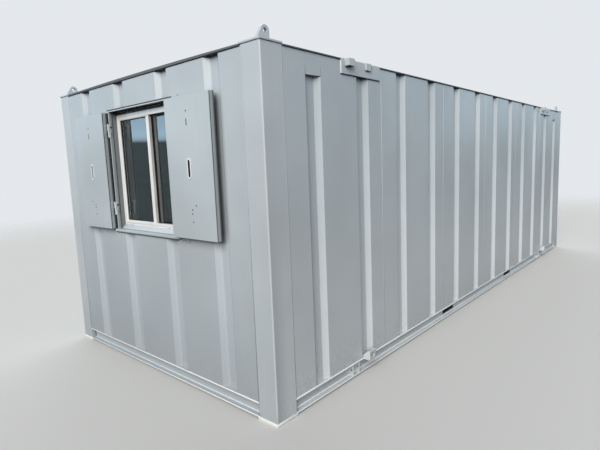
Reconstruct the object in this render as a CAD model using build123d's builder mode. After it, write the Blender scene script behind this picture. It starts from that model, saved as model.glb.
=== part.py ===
from build123d import *
import os

# Portable steel site cabin on jacking-leg brackets. Millimetres, +Z up.
# Origin on the ground under the middle of the floor, X along the long sides.
# The front long side faces -Y and the window end faces -X.

# Overall box, its height being the door's clear height with the head over it
length = 7315.0
width = 2743.0
head_height = 263.0

# Base frame
foot_thick = 15.0
foot_lip = 6.0
rail_height = 100.0
rail_depth = 45.0
rail_thick = 6.0
bearer_height = 90.0
bearer_width = 40.0
bearer_thick = 4.0
deck_thick = 22.0

# Fork pockets through the base
pocket_pitch = 1956.0
pocket_width = 297.0
pocket_height = 68.0
pocket_wall = 6.0
strap_reach = 75.0
strap_thick = 9.0

# Corner posts, folded from plate
post_side = 186.0
post_end = 165.0
post_return = 34.0
post_thick = 4.0
post_round = 6.0

# Lifting corners
cap_thick = 12.0
cap_lip = 6.0
cap_over_roof = 8.0
eye_radius = 34.0
eye_hole = 16.0
eye_thick = 22.0
eye_rise = 60.0
eye_base = 110.0
eye_from_end = 100.0
eye_from_side = 60.0

# Ribbed wall sheets
sheet = 3.0
rib_pitch = 579.0
rib_mouth = 155.0
rib_floor = 75.0
rib_depth = 32.0
rib_cover_height = 143.0
end_joint = -32.0
end_sheet_mid = 598.0
wall_thick = 95.0
lining_thick = 12.0

# Roof and ceiling
roof_edge = 8.0
roof_overhang = 8.0
roof_crown = 12.0
roof_gap = 1.0
top_rail_height = 90.0
top_rail_width = 45.0
top_rail_wall = 4.0
ceiling_drop = 100.0
ceiling_thick = 12.0

# Window
window_mid = 15.0
window_width = 903.0
window_height = 987.0
window_head_drop = 220.0
lip_side = 27.0
lip_head = 12.0
sill_height = 23.0
sill_reach = 15.0
frame_set_back = 68.0
frame_depth = 38.0
frame_side_face = 48.0
frame_head_face = 66.0
frame_foot_face = 68.0
track_depth = 26.0
mullion_width = 30.0
mullion_mid = -15.0
stile_width = 55.0
sash_rail = 14.0
sash_lap = 16.0
glass_thick = 4.0

# Shutter leaves and their lift-off hinges
leaf_width = 502.0
leaf_height = 976.0
leaf_thick = 44.0
leaf_sill_gap = 5.0
leaf_gap = 7.0
leaf_reveal_gap = 5.0
lap_gap = 6.0
leaf_face_thick = 5.0
groove_width = 7.0
groove_depth = 6.0
left_pin_out = 9.5
right_pin_out = 5.0
right_pin_to_leaf = 8.0
slot_width = 24.0
slot_length = 120.0
slot_depth = 30.0
slot_rim = 10.0
slot_rim_proud = 4.0
hinge_low = 174.0
hinge_high = 829.0
hinge_half = 55.0
hinge_gap = 1.0
barrel_radius = 6.0
pin_radius = 3.0
pin_clearance = 0.05
pin_length = 45.0
hinge_strap = 4.0
hinge_bracket = 3.0
hinge_bracket_grip = 20.0

# Jacking-leg brackets at the eaves and on the base rail
bracket_length = 505.0
bracket_height = 104.0
bracket_thick = 12.0
bracket_above_lip = 1.0
bracket_shift = -20.0
socket_at = -198.5
socket_width = 72.0
socket_depth = 38.0
socket_height = 51.0
socket_wall = 5.0
stop_at = 54.5
stop_width = 66.0
stop_depth = 14.0
stop_height = 52.0
gusset_at = (-202.5, -120.5)
gusset_thick = 8.0
gusset_hole = 10.0
gusset_hole_in = 19.0
lug_at = -19.5
lug_width = 86.0
lug_reach = 60.0
lug_seat = 10.0
lug_height = 68.0
lug_slope = 46.0
lug_wall = 8.0
lug_hole = 20.0
lug_head = 20.0

# Door in the back long side, its place counted in rib pitches from the middle
door_pitches = 2.5
door_jamb = 60.0
door_clear_width = 860.0
door_clear_height = 1985.0
door_stop = 15.0
door_leaf_thick = 45.0
door_set_in = 10.0
door_gap = 3.0
door_hinge_count = 3
door_hinge_inset = 220.0
door_hinge_length = 90.0
door_barrel = 9.0
door_hinge_strap = 40.0
handle_height = 1000.0
handle_from_edge = 60.0
handle_plate_width = 44.0
handle_plate_height = 200.0
handle_plate_thick = 4.0
handle_plate_round = 11.0
lever_radius = 9.0
lever_stand_off = 50.0
lever_reach = 120.0

# Levels and lines that the pieces share
half_length = length / 2
half_width = width / 2
rail_bottom = foot_thick
rail_top = rail_bottom + rail_height
deck_top = rail_top + deck_thick
post_top = deck_top + door_clear_height + head_height
roof_bottom = post_top - roof_edge
side_wall = length - 2 * post_side
end_wall = width - 2 * post_end
rib_count = round(side_wall / rib_pitch)
side_ribs = [(index - (rib_count - 1) / 2) * rib_pitch for index in range(rib_count)]
end_ribs = [
    end_joint + sheet_side * end_sheet_mid + rib_side * rib_pitch / 2
    for sheet_side in (-1, 1)
    for rib_side in (-1, 1)
]
bracket_ribs = (side_ribs[1], side_ribs[-2])
bracket_places = [rib + bracket_shift for rib in bracket_ribs]
cover_ribs = (side_ribs[0], side_ribs[-1])
pocket_places = (-pocket_pitch / 2, pocket_pitch / 2)
pocket_outer_width = pocket_width + 2 * pocket_wall
pocket_outer_height = pocket_height + 2 * pocket_wall
pocket_mid = rail_top - rail_thick - pocket_outer_height / 2
window_bottom = roof_bottom - window_head_drop - window_height
window_middle_height = window_bottom + window_height / 2

# Planes that face the outside of each wall, with their second axis up
front_face = Plane.XZ.offset(half_width)
back_face = Plane(origin=(0, half_width, 0), x_dir=(-1, 0, 0), z_dir=(0, 1, 0))
window_face = Plane(origin=(-half_length, 0, 0), x_dir=(0, -1, 0), z_dir=(-1, 0, 0))

# Plans of the four walls: first axis along the wall, second axis into the cabin
front_plan = Plane(origin=(0, -half_width, 0), x_dir=(1, 0, 0), z_dir=(0, 0, 1))
back_plan = Plane(origin=(0, half_width, 0), x_dir=(-1, 0, 0), z_dir=(0, 0, 1))
window_plan = Plane(origin=(-half_length, 0, 0), x_dir=(0, -1, 0), z_dir=(0, 0, 1))
plain_plan = Plane(origin=(half_length, 0, 0), x_dir=(0, 1, 0), z_dir=(0, 0, 1))

corners = {
    "front_left": (),
    "front_right": (Plane.YZ,),
    "back_left": (Plane.XZ,),
    "back_right": (Plane.XZ, Plane.YZ),
}

os.makedirs("parts", exist_ok=True)


def save(piece, name):
    """Label a finished piece and write it as its own STEP file."""
    piece.part.label = name
    export_step(piece.part, f"parts/{name}.step")


def reflected(shape, planes):
    """A copy of a shape reflected in each plane in turn."""
    for plane in planes:
        shape = mirror(shape, about=plane, mode=Mode.PRIVATE)
    return shape


def ribbed_outline(rib_places, half):
    """Closed plan outline of a sheet with inward trapezoid ribs at rib_places."""
    outer = [(-half, 0)]
    for place in rib_places:
        outer.append((place - rib_mouth / 2, 0))
        outer.append((place - rib_floor / 2, rib_depth))
        outer.append((place + rib_floor / 2, rib_depth))
        outer.append((place + rib_mouth / 2, 0))
    outer.append((half, 0))
    inner = [(along, depth + sheet) for along, depth in reversed(outer)]
    return outer + inner


# Base rails: channels open to the outside, butted between the corner posts
rail_outline = [
    (0, rail_bottom),
    (rail_depth, rail_bottom),
    (rail_depth, rail_top),
    (0, rail_top),
    (0, rail_top - rail_thick),
    (rail_depth - rail_thick, rail_top - rail_thick),
    (rail_depth - rail_thick, rail_bottom + rail_thick),
    (0, rail_bottom + rail_thick),
]

with BuildPart() as base_rail_front:
    with BuildSketch(Plane.YZ):
        with BuildLine():
            Polyline(*[(depth - half_width, level) for depth, level in rail_outline], close=True)
        make_face()
    extrude(amount=side_wall / 2, both=True)
    # Openings in the web for the fork pockets
    with BuildSketch(front_face):
        with Locations(*[(place, pocket_mid) for place in pocket_places]):
            Rectangle(pocket_outer_width, pocket_outer_height)
    extrude(amount=-rail_depth, mode=Mode.SUBTRACT)
    # Doubler straps under the bottom flange at the pockets
    with BuildSketch(front_face):
        with Locations(*[(place, rail_bottom - strap_thick / 2) for place in pocket_places]):
            Rectangle(pocket_width + 2 * strap_reach, strap_thick)
    extrude(amount=-rail_depth)
save(base_rail_front, "base_rail_front")

with BuildPart() as base_rail_back:
    mirror(base_rail_front.part, about=Plane.XZ)
save(base_rail_back, "base_rail_back")

with BuildPart() as base_rail_window_end:
    with BuildSketch(Plane.XZ):
        with BuildLine():
            Polyline(*[(depth - half_length, level) for depth, level in rail_outline], close=True)
        make_face()
    extrude(amount=end_wall / 2, both=True)
save(base_rail_window_end, "base_rail_window_end")

with BuildPart() as base_rail_plain_end:
    mirror(base_rail_window_end.part, about=Plane.YZ)
save(base_rail_plain_end, "base_rail_plain_end")

# Fork pockets: rectangular tubes from web to web
web_face = half_width - rail_depth + rail_thick
for place, name in zip(pocket_places, ("fork_pocket_left", "fork_pocket_right")):
    with BuildPart() as fork_pocket:
        with BuildSketch(Plane.XZ):
            with Locations((place, pocket_mid)):
                Rectangle(pocket_outer_width, pocket_outer_height)
                Rectangle(pocket_width, pocket_height, mode=Mode.SUBTRACT)
        extrude(amount=web_face, both=True)
    save(fork_pocket, name)

# Floor bearers: channels across the base, four steps to each fork pocket pitch
bearer_step = pocket_pitch / 4
bearer_reach = int((half_length - rail_depth - bearer_width) // bearer_step)
bearer_places = [
    index * bearer_step
    for index in range(-bearer_reach, bearer_reach + 1)
    if abs(abs(index * bearer_step) - pocket_pitch / 2) > pocket_outer_width / 2 + bearer_width
]
bearer_mid = rail_top - bearer_height / 2

with BuildPart() as floor_bearers:
    with BuildSketch(Plane.XZ):
        with Locations(*[(place, bearer_mid) for place in bearer_places]):
            Rectangle(bearer_width, bearer_height)
        with Locations(*[(place + bearer_thick, bearer_mid) for place in bearer_places]):
            Rectangle(bearer_width, bearer_height - 2 * bearer_thick, mode=Mode.SUBTRACT)
    extrude(amount=half_width - rail_depth, both=True)
save(floor_bearers, "floor_bearers")

# Floor deck: board on the rails' top flanges, inside the posts' returns, cut at the door
deck_inset = rib_depth + sheet + roof_gap
door_x = door_pitches * rib_pitch
door_outer_width = door_clear_width + 2 * door_jamb
with BuildPart() as floor_deck:
    with BuildSketch(Plane.XY.offset(rail_top)):
        Rectangle(length - 2 * deck_inset, width - 2 * deck_inset)
        with Locations((door_x, half_width)):
            Rectangle(door_outer_width, 2 * wall_thick, mode=Mode.SUBTRACT)
    extrude(amount=deck_thick)
save(floor_deck, "floor_deck")

# Foot plates under the posts, a little wider than the posts
with BuildPart() as foot_plates:
    with BuildSketch(Plane.XY):
        for along in (-1, 1):
            for across in (-1, 1):
                with Locations((along * (half_length - post_side / 2), across * (half_width - post_end / 2))):
                    Rectangle(post_side + 2 * foot_lip, post_end + 2 * foot_lip)
    extrude(amount=foot_thick)
save(foot_plates, "foot_plates")

# Corner posts: plate folded round the corner with a return against each wall sheet
with BuildPart() as corner_post:
    with BuildSketch(Plane(origin=(-half_length, -half_width, foot_thick), z_dir=(0, 0, 1))):
        with BuildLine():
            Polyline(
                (0, 0),
                (post_side, 0),
                (post_side, post_return),
                (post_side - post_thick, post_return),
                (post_side - post_thick, post_thick),
                (post_thick, post_thick),
                (post_thick, post_end - post_thick),
                (post_return, post_end - post_thick),
                (post_return, post_end),
                (0, post_end),
                close=True,
            )
        make_face()
    extrude(amount=post_top - foot_thick)
    outer_edge = corner_post.edges().filter_by(Axis.Z).sort_by(SortBy.DISTANCE)[-1]
    fillet(outer_edge, post_round)

# Lifting corners: a cap plate on the post with a round-topped lug welded on it
cap_top = post_top + cap_thick
cap_side = post_side + cap_lip
cap_end = post_end + cap_lip + cap_over_roof
with BuildPart() as lifting_corner:
    with BuildSketch(Plane(origin=(-half_length, -half_width, post_top), z_dir=(0, 0, 1))):
        with Locations((-cap_lip, -cap_lip)):
            Rectangle(cap_side, cap_end, align=(Align.MIN, Align.MIN))
    extrude(amount=cap_thick)
    with BuildSketch(Plane.XZ.offset(half_width - eye_from_side)):
        with BuildLine():
            eye_x = eye_from_end - half_length
            CenterArc((eye_x, cap_top + eye_rise), eye_radius, 0, 360)
            Line((eye_x + eye_radius - eye_base, cap_top), (eye_x + eye_radius, cap_top))
        make_hull()
        with Locations((eye_x, cap_top + eye_rise)):
            Circle(eye_hole, mode=Mode.SUBTRACT)
    extrude(amount=eye_thick / 2, both=True)

for corner, planes in corners.items():
    with BuildPart() as post_copy:
        add(reflected(corner_post.part, planes))
    save(post_copy, f"corner_post_{corner}")
    with BuildPart() as lifting_copy:
        add(reflected(lifting_corner.part, planes))
    save(lifting_copy, f"lifting_corner_{corner}")

# Long walls: one ribbed steel skin a side, with flush covers over the end ribs' tops
sheet_height = roof_bottom - rail_top
cover_bottom = roof_bottom - rib_cover_height

with BuildPart() as long_skin:
    with BuildSketch(Plane.XY.offset(rail_top)):
        with BuildLine():
            Polyline(*ribbed_outline(side_ribs, side_wall / 2), close=True)
        make_face()
    extrude(amount=sheet_height)
    # Flush plates over the tops of the two end ribs, each with a shelf under it
    with BuildSketch(Plane.XY.offset(cover_bottom)):
        with Locations(*[(place, sheet / 2) for place in cover_ribs]):
            Rectangle(rib_mouth, sheet)
    extrude(amount=rib_cover_height)
    with BuildSketch(Plane.XY.offset(cover_bottom)):
        for place in cover_ribs:
            with Locations((place, 0)):
                Polygon(
                    (-rib_mouth / 2, 0),
                    (rib_mouth / 2, 0),
                    (rib_floor / 2, rib_depth),
                    (-rib_floor / 2, rib_depth),
                    align=None,
                )
    extrude(amount=sheet)

with BuildPart() as front_wall:
    add(front_plan.from_local_coords(long_skin.part))
save(front_wall, "front_wall")

# The back wall is cut for the door frame, which takes the place of one rib
door_outer_height = deck_thick + door_clear_height + door_jamb
with BuildPart() as back_wall:
    add(back_plan.from_local_coords(long_skin.part))
    with BuildSketch(back_face):
        with Locations((-door_x, rail_top)):
            Rectangle(door_outer_width, door_outer_height, align=(Align.CENTER, Align.MIN))
    extrude(amount=-wall_thick, mode=Mode.SUBTRACT)
save(back_wall, "back_wall")

# End walls: two pressed sheets with two ribs each
window_lip_width = window_width + 2 * lip_side
window_lip_height = window_height + lip_head + sill_height
window_lip_bottom = window_bottom - sill_height
with BuildPart() as window_end_wall:
    with BuildSketch(window_plan.offset(rail_top)):
        with BuildLine():
            Polyline(*ribbed_outline([-place for place in reversed(end_ribs)], end_wall / 2), close=True)
        make_face()
    extrude(amount=sheet_height)
    # A shallow cut for the surround's lip and a through cut for its reveal
    with BuildSketch(window_face):
        with Locations((-window_mid, window_lip_bottom)):
            Rectangle(window_lip_width, window_lip_height, align=(Align.CENTER, Align.MIN))
    extrude(amount=-sheet, mode=Mode.SUBTRACT)
    with BuildSketch(window_face):
        with Locations((-window_mid, window_middle_height)):
            Rectangle(window_width + 2 * sheet, window_height + 2 * sheet)
    extrude(amount=-wall_thick, mode=Mode.SUBTRACT)
save(window_end_wall, "window_end_wall")

with BuildPart() as plain_end_wall:
    with BuildSketch(plain_plan.offset(rail_top)):
        with BuildLine():
            Polyline(*ribbed_outline(end_ribs, end_wall / 2), close=True)
        make_face()
    extrude(amount=sheet_height)
save(plain_end_wall, "plain_end_wall")

# Inner linings stand on the deck and reach the roof
lining_outer = wall_thick - lining_thick
lining_height = roof_bottom - deck_top
with BuildPart() as front_lining:
    with BuildSketch(front_plan.offset(deck_top)):
        with Locations((0, lining_outer)):
            Rectangle(length - 2 * lining_outer, lining_thick, align=(Align.CENTER, Align.MIN))
    extrude(amount=lining_height)
save(front_lining, "front_lining")

with BuildPart() as back_lining:
    mirror(front_lining.part, about=Plane.XZ)
    with BuildSketch(back_face):
        with Locations((-door_x, deck_top)):
            Rectangle(door_outer_width, door_outer_height - deck_thick, align=(Align.CENTER, Align.MIN))
    extrude(amount=-wall_thick, mode=Mode.SUBTRACT)
save(back_lining, "back_lining")

with BuildPart() as plain_end_lining:
    with BuildSketch(plain_plan.offset(deck_top)):
        with Locations((0, lining_outer)):
            Rectangle(width - 2 * wall_thick, lining_thick, align=(Align.CENTER, Align.MIN))
    extrude(amount=lining_height)
save(plain_end_lining, "plain_end_lining")

with BuildPart() as window_end_lining:
    mirror(plain_end_lining.part, about=Plane.YZ)
    with BuildSketch(window_face):
        with Locations((-window_mid, window_middle_height)):
            Rectangle(window_width + 2 * sheet, window_height + 2 * sheet)
    extrude(amount=-wall_thick, mode=Mode.SUBTRACT)
save(window_end_lining, "window_end_lining")

# Ceiling boards between the linings
with BuildPart() as ceiling:
    with BuildSketch(Plane.XY.offset(roof_bottom - ceiling_drop)):
        Rectangle(length - 2 * wall_thick, width - 2 * wall_thick)
    extrude(amount=-ceiling_thick)
save(ceiling, "ceiling")

# Top rails: box tubes under the roof, between sheet and lining
top_rail_in = deck_inset + top_rail_width / 2
top_rail_mid = roof_bottom - top_rail_height / 2
top_rail_bore = (top_rail_width - 2 * top_rail_wall, top_rail_height - 2 * top_rail_wall)
top_rail_runs = (
    (Plane.YZ, half_width - top_rail_in, side_wall / 2),
    (Plane.XZ, half_length - top_rail_in, end_wall / 2),
)
with BuildPart() as top_rails:
    for section, out, reach in top_rail_runs:
        with BuildSketch(section):
            with Locations((-out, top_rail_mid), (out, top_rail_mid)):
                Rectangle(top_rail_width, top_rail_height)
                Rectangle(*top_rail_bore, mode=Mode.SUBTRACT)
        extrude(amount=reach, both=True)
save(top_rails, "top_rails")

# Roof: slightly crowned across its width, notched at the lifting corners and brackets
roof_half = half_width + roof_overhang
with BuildPart() as roof:
    with BuildSketch(Plane.YZ):
        with BuildLine():
            Line((-roof_half, post_top), (-roof_half, roof_bottom))
            Line((-roof_half, roof_bottom), (roof_half, roof_bottom))
            Line((roof_half, roof_bottom), (roof_half, post_top))
            ThreePointArc((roof_half, post_top), (0, post_top + roof_crown), (-roof_half, post_top))
        make_face()
    extrude(amount=half_length + roof_overhang, both=True)
    notch_side = post_side + roof_gap
    notch_end = post_end + cap_over_roof + roof_gap
    with BuildSketch(Plane.XY.offset(roof_bottom)):
        for along in (-1, 1):
            for across in (-1, 1):
                with Locations(
                    (
                        along * (half_length - notch_side / 2 + roof_overhang / 2),
                        across * (half_width - notch_end / 2 + roof_overhang / 2),
                    )
                ):
                    Rectangle(notch_side + roof_overhang, notch_end + roof_overhang)
        for across in (-1, 1):
            with Locations(*[(place, across * (half_width + roof_overhang / 2)) for place in bracket_places]):
                Rectangle(bracket_length + 2 * roof_gap, roof_overhang)
    extrude(amount=roof_edge + roof_crown, mode=Mode.SUBTRACT)
save(roof, "roof")

# Window surround: steel reveal through the wall with a lip flush in the sheet
with BuildPart() as window_surround:
    with BuildSketch(window_face):
        with Locations((-window_mid, window_lip_bottom)):
            Rectangle(window_lip_width, window_lip_height, align=(Align.CENTER, Align.MIN))
    extrude(amount=-sheet)
    with BuildSketch(window_face):
        with Locations((-window_mid, window_middle_height)):
            Rectangle(window_width + 2 * sheet, window_height + 2 * sheet)
    extrude(amount=-wall_thick)
    with BuildSketch(window_face):
        with Locations((-window_mid, window_middle_height)):
            Rectangle(window_width, window_height)
    extrude(amount=-wall_thick, mode=Mode.SUBTRACT)
save(window_surround, "window_surround")

# Window sill: a small folded tray on the face of the surround
with BuildPart() as window_sill:
    with BuildSketch(Plane.XZ.offset(-window_mid)):
        with Locations((-half_length, window_bottom)):
            Rectangle(sill_reach, sill_height, align=(Align.MAX, Align.MAX))
        with Locations((-half_length, window_bottom - sheet)):
            Rectangle(
                sill_reach - sheet,
                sill_height - 2 * sheet,
                align=(Align.MAX, Align.MAX),
                mode=Mode.SUBTRACT,
            )
    extrude(amount=window_lip_width / 2, both=True)
save(window_sill, "window_sill")

# Window frame: outer ring, deeper at head and foot, with one upright between the lights
light_width = window_width - 2 * frame_side_face
light_height = window_height - frame_head_face - frame_foot_face
light_middle_height = window_middle_height + (frame_foot_face - frame_head_face) / 2
with BuildPart() as window_frame:
    with BuildSketch(window_face.offset(-frame_set_back)):
        with Locations((-window_mid, window_middle_height)):
            Rectangle(window_width, window_height)
        with Locations((-window_mid, light_middle_height)):
            Rectangle(light_width, light_height, mode=Mode.SUBTRACT)
    extrude(amount=-frame_depth)
    with BuildSketch(window_face.offset(-frame_set_back)):
        with Locations((-mullion_mid, light_middle_height)):
            Rectangle(mullion_width, light_height)
    extrude(amount=-track_depth)
save(window_frame, "window_frame")

# Sliding sash: set back behind the upright, in the half of the window by the long side
light_right = window_mid - light_width / 2
light_left = window_mid + light_width / 2
mullion_right = mullion_mid - mullion_width / 2
mullion_left = mullion_mid + mullion_width / 2
sash_left = mullion_right + sash_lap
sash_glass_left = sash_left - stile_width
sash_glass_right = light_right + sash_rail
sash_depth = frame_depth - track_depth
with BuildPart() as window_sash:
    with BuildSketch(window_face.offset(-frame_set_back - track_depth)):
        with Locations((-(sash_left + light_right) / 2, light_middle_height)):
            Rectangle(sash_left - light_right, light_height)
        with Locations((-(sash_glass_left + sash_glass_right) / 2, light_middle_height)):
            Rectangle(sash_glass_left - sash_glass_right, light_height - 2 * sash_rail, mode=Mode.SUBTRACT)
    extrude(amount=-sash_depth)
save(window_sash, "window_sash")

# Window glass: a fixed pane in the frame and a pane in the sliding sash
fixed_glass_in = frame_set_back + (track_depth - glass_thick) / 2
sash_glass_in = frame_set_back + track_depth + (sash_depth - glass_thick) / 2
with BuildPart() as window_glass:
    with BuildSketch(window_face.offset(-fixed_glass_in)):
        with Locations((-(mullion_left + light_left) / 2, light_middle_height)):
            Rectangle(light_left - mullion_left, light_height)
    extrude(amount=-glass_thick)
    with BuildSketch(window_face.offset(-sash_glass_in)):
        with Locations((-(sash_glass_left + sash_glass_right) / 2, light_middle_height)):
            Rectangle(sash_glass_left - sash_glass_right, light_height - 2 * sash_rail)
    extrude(amount=-glass_thick)
save(window_glass, "window_glass")

# Shutters: the left leaf's pin stands at the reveal's left edge, close to the wall.
# The right leaf's pin stands further out, so that it closes in front of the left leaf.
reveal_left = window_mid + window_width / 2
reveal_right = window_mid - window_width / 2
left_pin_y = reveal_left + left_pin_out
left_pin_x = -half_length - leaf_gap
left_leaf_near = left_pin_y + left_pin_out + leaf_reveal_gap
right_pin_y = reveal_right + right_pin_out
right_pin_x = -half_length - (2 * leaf_gap + leaf_thick + lap_gap) / 2
right_leaf_near = right_pin_y - right_pin_to_leaf
leaf_bottom = window_bottom + leaf_sill_gap
leaf_middle = leaf_bottom + leaf_height / 2
leaf_back = window_face.offset(leaf_gap)
left_leaf_mid = left_leaf_near + leaf_width / 2
right_leaf_mid = right_leaf_near - leaf_width / 2


# A leaf is a deep body and a face sheet with a groove between, and a rimmed finger slot
leaf_body_thick = leaf_thick - leaf_face_thick - groove_width
for name, middle in (("shutter_left", left_leaf_mid), ("shutter_right", right_leaf_mid)):
    with BuildPart() as shutter_leaf:
        with BuildSketch(leaf_back):
            with Locations((-middle, leaf_middle)):
                Rectangle(leaf_width, leaf_height)
        extrude(amount=leaf_body_thick)
        with BuildSketch(leaf_back.offset(leaf_body_thick)):
            with Locations((-middle, leaf_middle)):
                Rectangle(leaf_width - 2 * groove_depth, leaf_height - 2 * groove_depth)
        extrude(amount=groove_width)
        with BuildSketch(leaf_back.offset(leaf_body_thick + groove_width)):
            with Locations((-middle, leaf_middle)):
                Rectangle(leaf_width, leaf_height)
        extrude(amount=leaf_face_thick)
        with BuildSketch(leaf_back.offset(leaf_thick)):
            with Locations((-middle, leaf_middle)):
                SlotOverall(slot_length + 2 * slot_rim, slot_width + 2 * slot_rim, rotation=90)
        extrude(amount=slot_rim_proud)
        with BuildSketch(leaf_back.offset(leaf_thick + slot_rim_proud)):
            with Locations((-middle, leaf_middle)):
                SlotOverall(slot_length, slot_width, rotation=90)
        extrude(amount=-slot_depth - slot_rim_proud, mode=Mode.SUBTRACT)
    save(shutter_leaf, name)

# Shutter hinges: each has a fixed lower half with a pin and a moving upper half over it
hinge_levels = (leaf_bottom + hinge_low, leaf_bottom + hinge_high)
with BuildPart() as shutter_hinge_pins:
    for level in hinge_levels:
        with BuildSketch(Plane.XY.offset(level - hinge_half)):
            with Locations((left_pin_x, left_pin_y), (right_pin_x, right_pin_y)):
                Circle(barrel_radius)
            with Locations((left_pin_x, left_pin_y)):
                Rectangle(leaf_gap, 2 * barrel_radius, align=(Align.MIN, Align.CENTER))
            with Locations((right_pin_x, reveal_right)):
                Rectangle(
                    -half_length - right_pin_x + hinge_bracket_grip,
                    hinge_bracket,
                    align=(Align.MIN, Align.MIN),
                )
        extrude(amount=hinge_half)
        with BuildSketch(Plane.XY.offset(level)):
            with Locations((left_pin_x, left_pin_y), (right_pin_x, right_pin_y)):
                Circle(pin_radius)
        extrude(amount=pin_length)
save(shutter_hinge_pins, "shutter_hinge_pins")

with BuildPart() as shutter_left_hinges:
    for level in hinge_levels:
        with BuildSketch(Plane.XY.offset(level + hinge_gap)):
            with Locations((left_pin_x, left_pin_y)):
                Circle(barrel_radius)
                Rectangle(hinge_strap, left_leaf_near - left_pin_y, align=(Align.MAX, Align.MIN))
                Circle(pin_radius + pin_clearance, mode=Mode.SUBTRACT)
        extrude(amount=hinge_half - hinge_gap)
save(shutter_left_hinges, "shutter_left_hinges")

with BuildPart() as shutter_right_hinges:
    for level in hinge_levels:
        with BuildSketch(Plane.XY.offset(level + hinge_gap)):
            with Locations((right_pin_x, right_pin_y)):
                Circle(barrel_radius)
                Rectangle(hinge_strap, right_pin_y - right_leaf_near, align=(Align.CENTER, Align.MAX))
                Circle(pin_radius + pin_clearance, mode=Mode.SUBTRACT)
        extrude(amount=hinge_half - hinge_gap)
save(shutter_right_hinges, "shutter_right_hinges")

# Jacking-leg brackets at the eaves: a plate over a rib with a leg socket and a stop block
bracket_top = post_top + bracket_above_lip
with BuildPart() as leg_brackets_front:
    for rib in bracket_ribs:
        with BuildSketch(front_face):
            with Locations((rib + bracket_shift, bracket_top)):
                Rectangle(bracket_length, bracket_height, align=(Align.CENTER, Align.MAX))
        extrude(amount=bracket_thick)
        with BuildSketch(front_face.offset(bracket_thick)):
            with Locations((rib + socket_at, bracket_top)):
                Rectangle(socket_width, socket_height, align=(Align.CENTER, Align.MAX))
        extrude(amount=socket_depth)
        with BuildSketch(front_face.offset(bracket_thick + socket_wall)):
            with Locations((rib + socket_at, bracket_top - socket_wall)):
                Rectangle(
                    socket_width - 2 * socket_wall,
                    socket_height - socket_wall,
                    align=(Align.CENTER, Align.MAX),
                )
        extrude(amount=socket_depth - 2 * socket_wall, mode=Mode.SUBTRACT)
        with BuildSketch(front_face.offset(bracket_thick)):
            with Locations((rib + stop_at, bracket_top)):
                Rectangle(stop_width, stop_height, align=(Align.CENTER, Align.MAX))
        extrude(amount=stop_depth)
save(leg_brackets_front, "leg_brackets_front")

with BuildPart() as leg_brackets_back:
    mirror(leg_brackets_front.part, about=Plane.XZ)
save(leg_brackets_back, "leg_brackets_back")

# Jacking-leg seats on the base rail: two gussets across the channel, and a lug on top
web_in = rail_depth - rail_thick
gusset_height = rail_height - 2 * rail_thick
with BuildPart() as leg_gussets_front:
    for rib in bracket_ribs:
        for place in gusset_at:
            with BuildSketch(Plane.YZ.offset(rib + place - gusset_thick / 2)):
                with Locations((-half_width, rail_bottom + rail_thick)):
                    Rectangle(web_in, gusset_height, align=(Align.MIN, Align.MIN))
                with Locations((-half_width + gusset_hole_in, rail_bottom + rail_height / 2)):
                    Circle(gusset_hole, mode=Mode.SUBTRACT)
            extrude(amount=gusset_thick)
save(leg_gussets_front, "leg_gussets_front")

with BuildPart() as leg_gussets_back:
    mirror(leg_gussets_front.part, about=Plane.XZ)
save(leg_gussets_back, "leg_gussets_back")

with BuildPart() as leg_lugs_front:
    for rib in bracket_ribs:
        with BuildSketch(Plane.YZ.offset(rib + lug_at - lug_width / 2)):
            with BuildLine():
                Polyline(
                    (-half_width - lug_reach, rail_top - rail_thick),
                    (-half_width, rail_top - rail_thick),
                    (-half_width, rail_top),
                    (-half_width + lug_seat, rail_top),
                    (-half_width + lug_seat, rail_top + lug_height - lug_slope),
                    (-half_width - lug_reach + lug_head, rail_top + lug_height),
                    (-half_width - lug_reach, rail_top + lug_height),
                    close=True,
                )
            make_face()
        extrude(amount=lug_width)
        # Hollow behind the front plate, open at the top and the bottom and towards the wall
        with BuildSketch(Plane.XY.offset(rail_top - rail_thick)):
            with Locations((rib + lug_at, -half_width - lug_reach + lug_wall)):
                Rectangle(lug_width - 2 * lug_wall, lug_reach + lug_seat, align=(Align.CENTER, Align.MIN))
        extrude(amount=lug_height + rail_thick, mode=Mode.SUBTRACT)
        with BuildSketch(front_face.offset(lug_reach)):
            with Locations((rib + lug_at, rail_top + lug_height / 2)):
                Circle(lug_hole)
        extrude(amount=-lug_wall, mode=Mode.SUBTRACT)
save(leg_lugs_front, "leg_lugs_front")

with BuildPart() as leg_lugs_back:
    mirror(leg_lugs_front.part, about=Plane.XZ)
save(leg_lugs_back, "leg_lugs_back")

# Door frame: a steel ring through the wall, rebated for a leaf that closes from outside
door_bottom = deck_top
door_middle = door_bottom + door_clear_height / 2
door_rebate = door_set_in + door_leaf_thick
with BuildPart() as door_frame:
    with BuildSketch(back_face):
        with Locations((-door_x, rail_top)):
            Rectangle(door_outer_width, door_outer_height, align=(Align.CENTER, Align.MIN))
        with Locations((-door_x, door_middle)):
            Rectangle(
                door_clear_width - 2 * door_stop,
                door_clear_height - 2 * door_stop,
                mode=Mode.SUBTRACT,
            )
    extrude(amount=-wall_thick)
    with BuildSketch(back_face):
        with Locations((-door_x, door_middle)):
            Rectangle(door_clear_width, door_clear_height)
    extrude(amount=-door_rebate, mode=Mode.SUBTRACT)
save(door_frame, "door_frame")

# Door leaf: a flat steel-faced door shut against the rebate
with BuildPart() as door:
    with BuildSketch(back_face.offset(-door_set_in)):
        with Locations((-door_x, door_middle)):
            Rectangle(door_clear_width - 2 * door_gap, door_clear_height - 2 * door_gap)
    extrude(amount=-door_leaf_thick)
save(door, "door")

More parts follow.
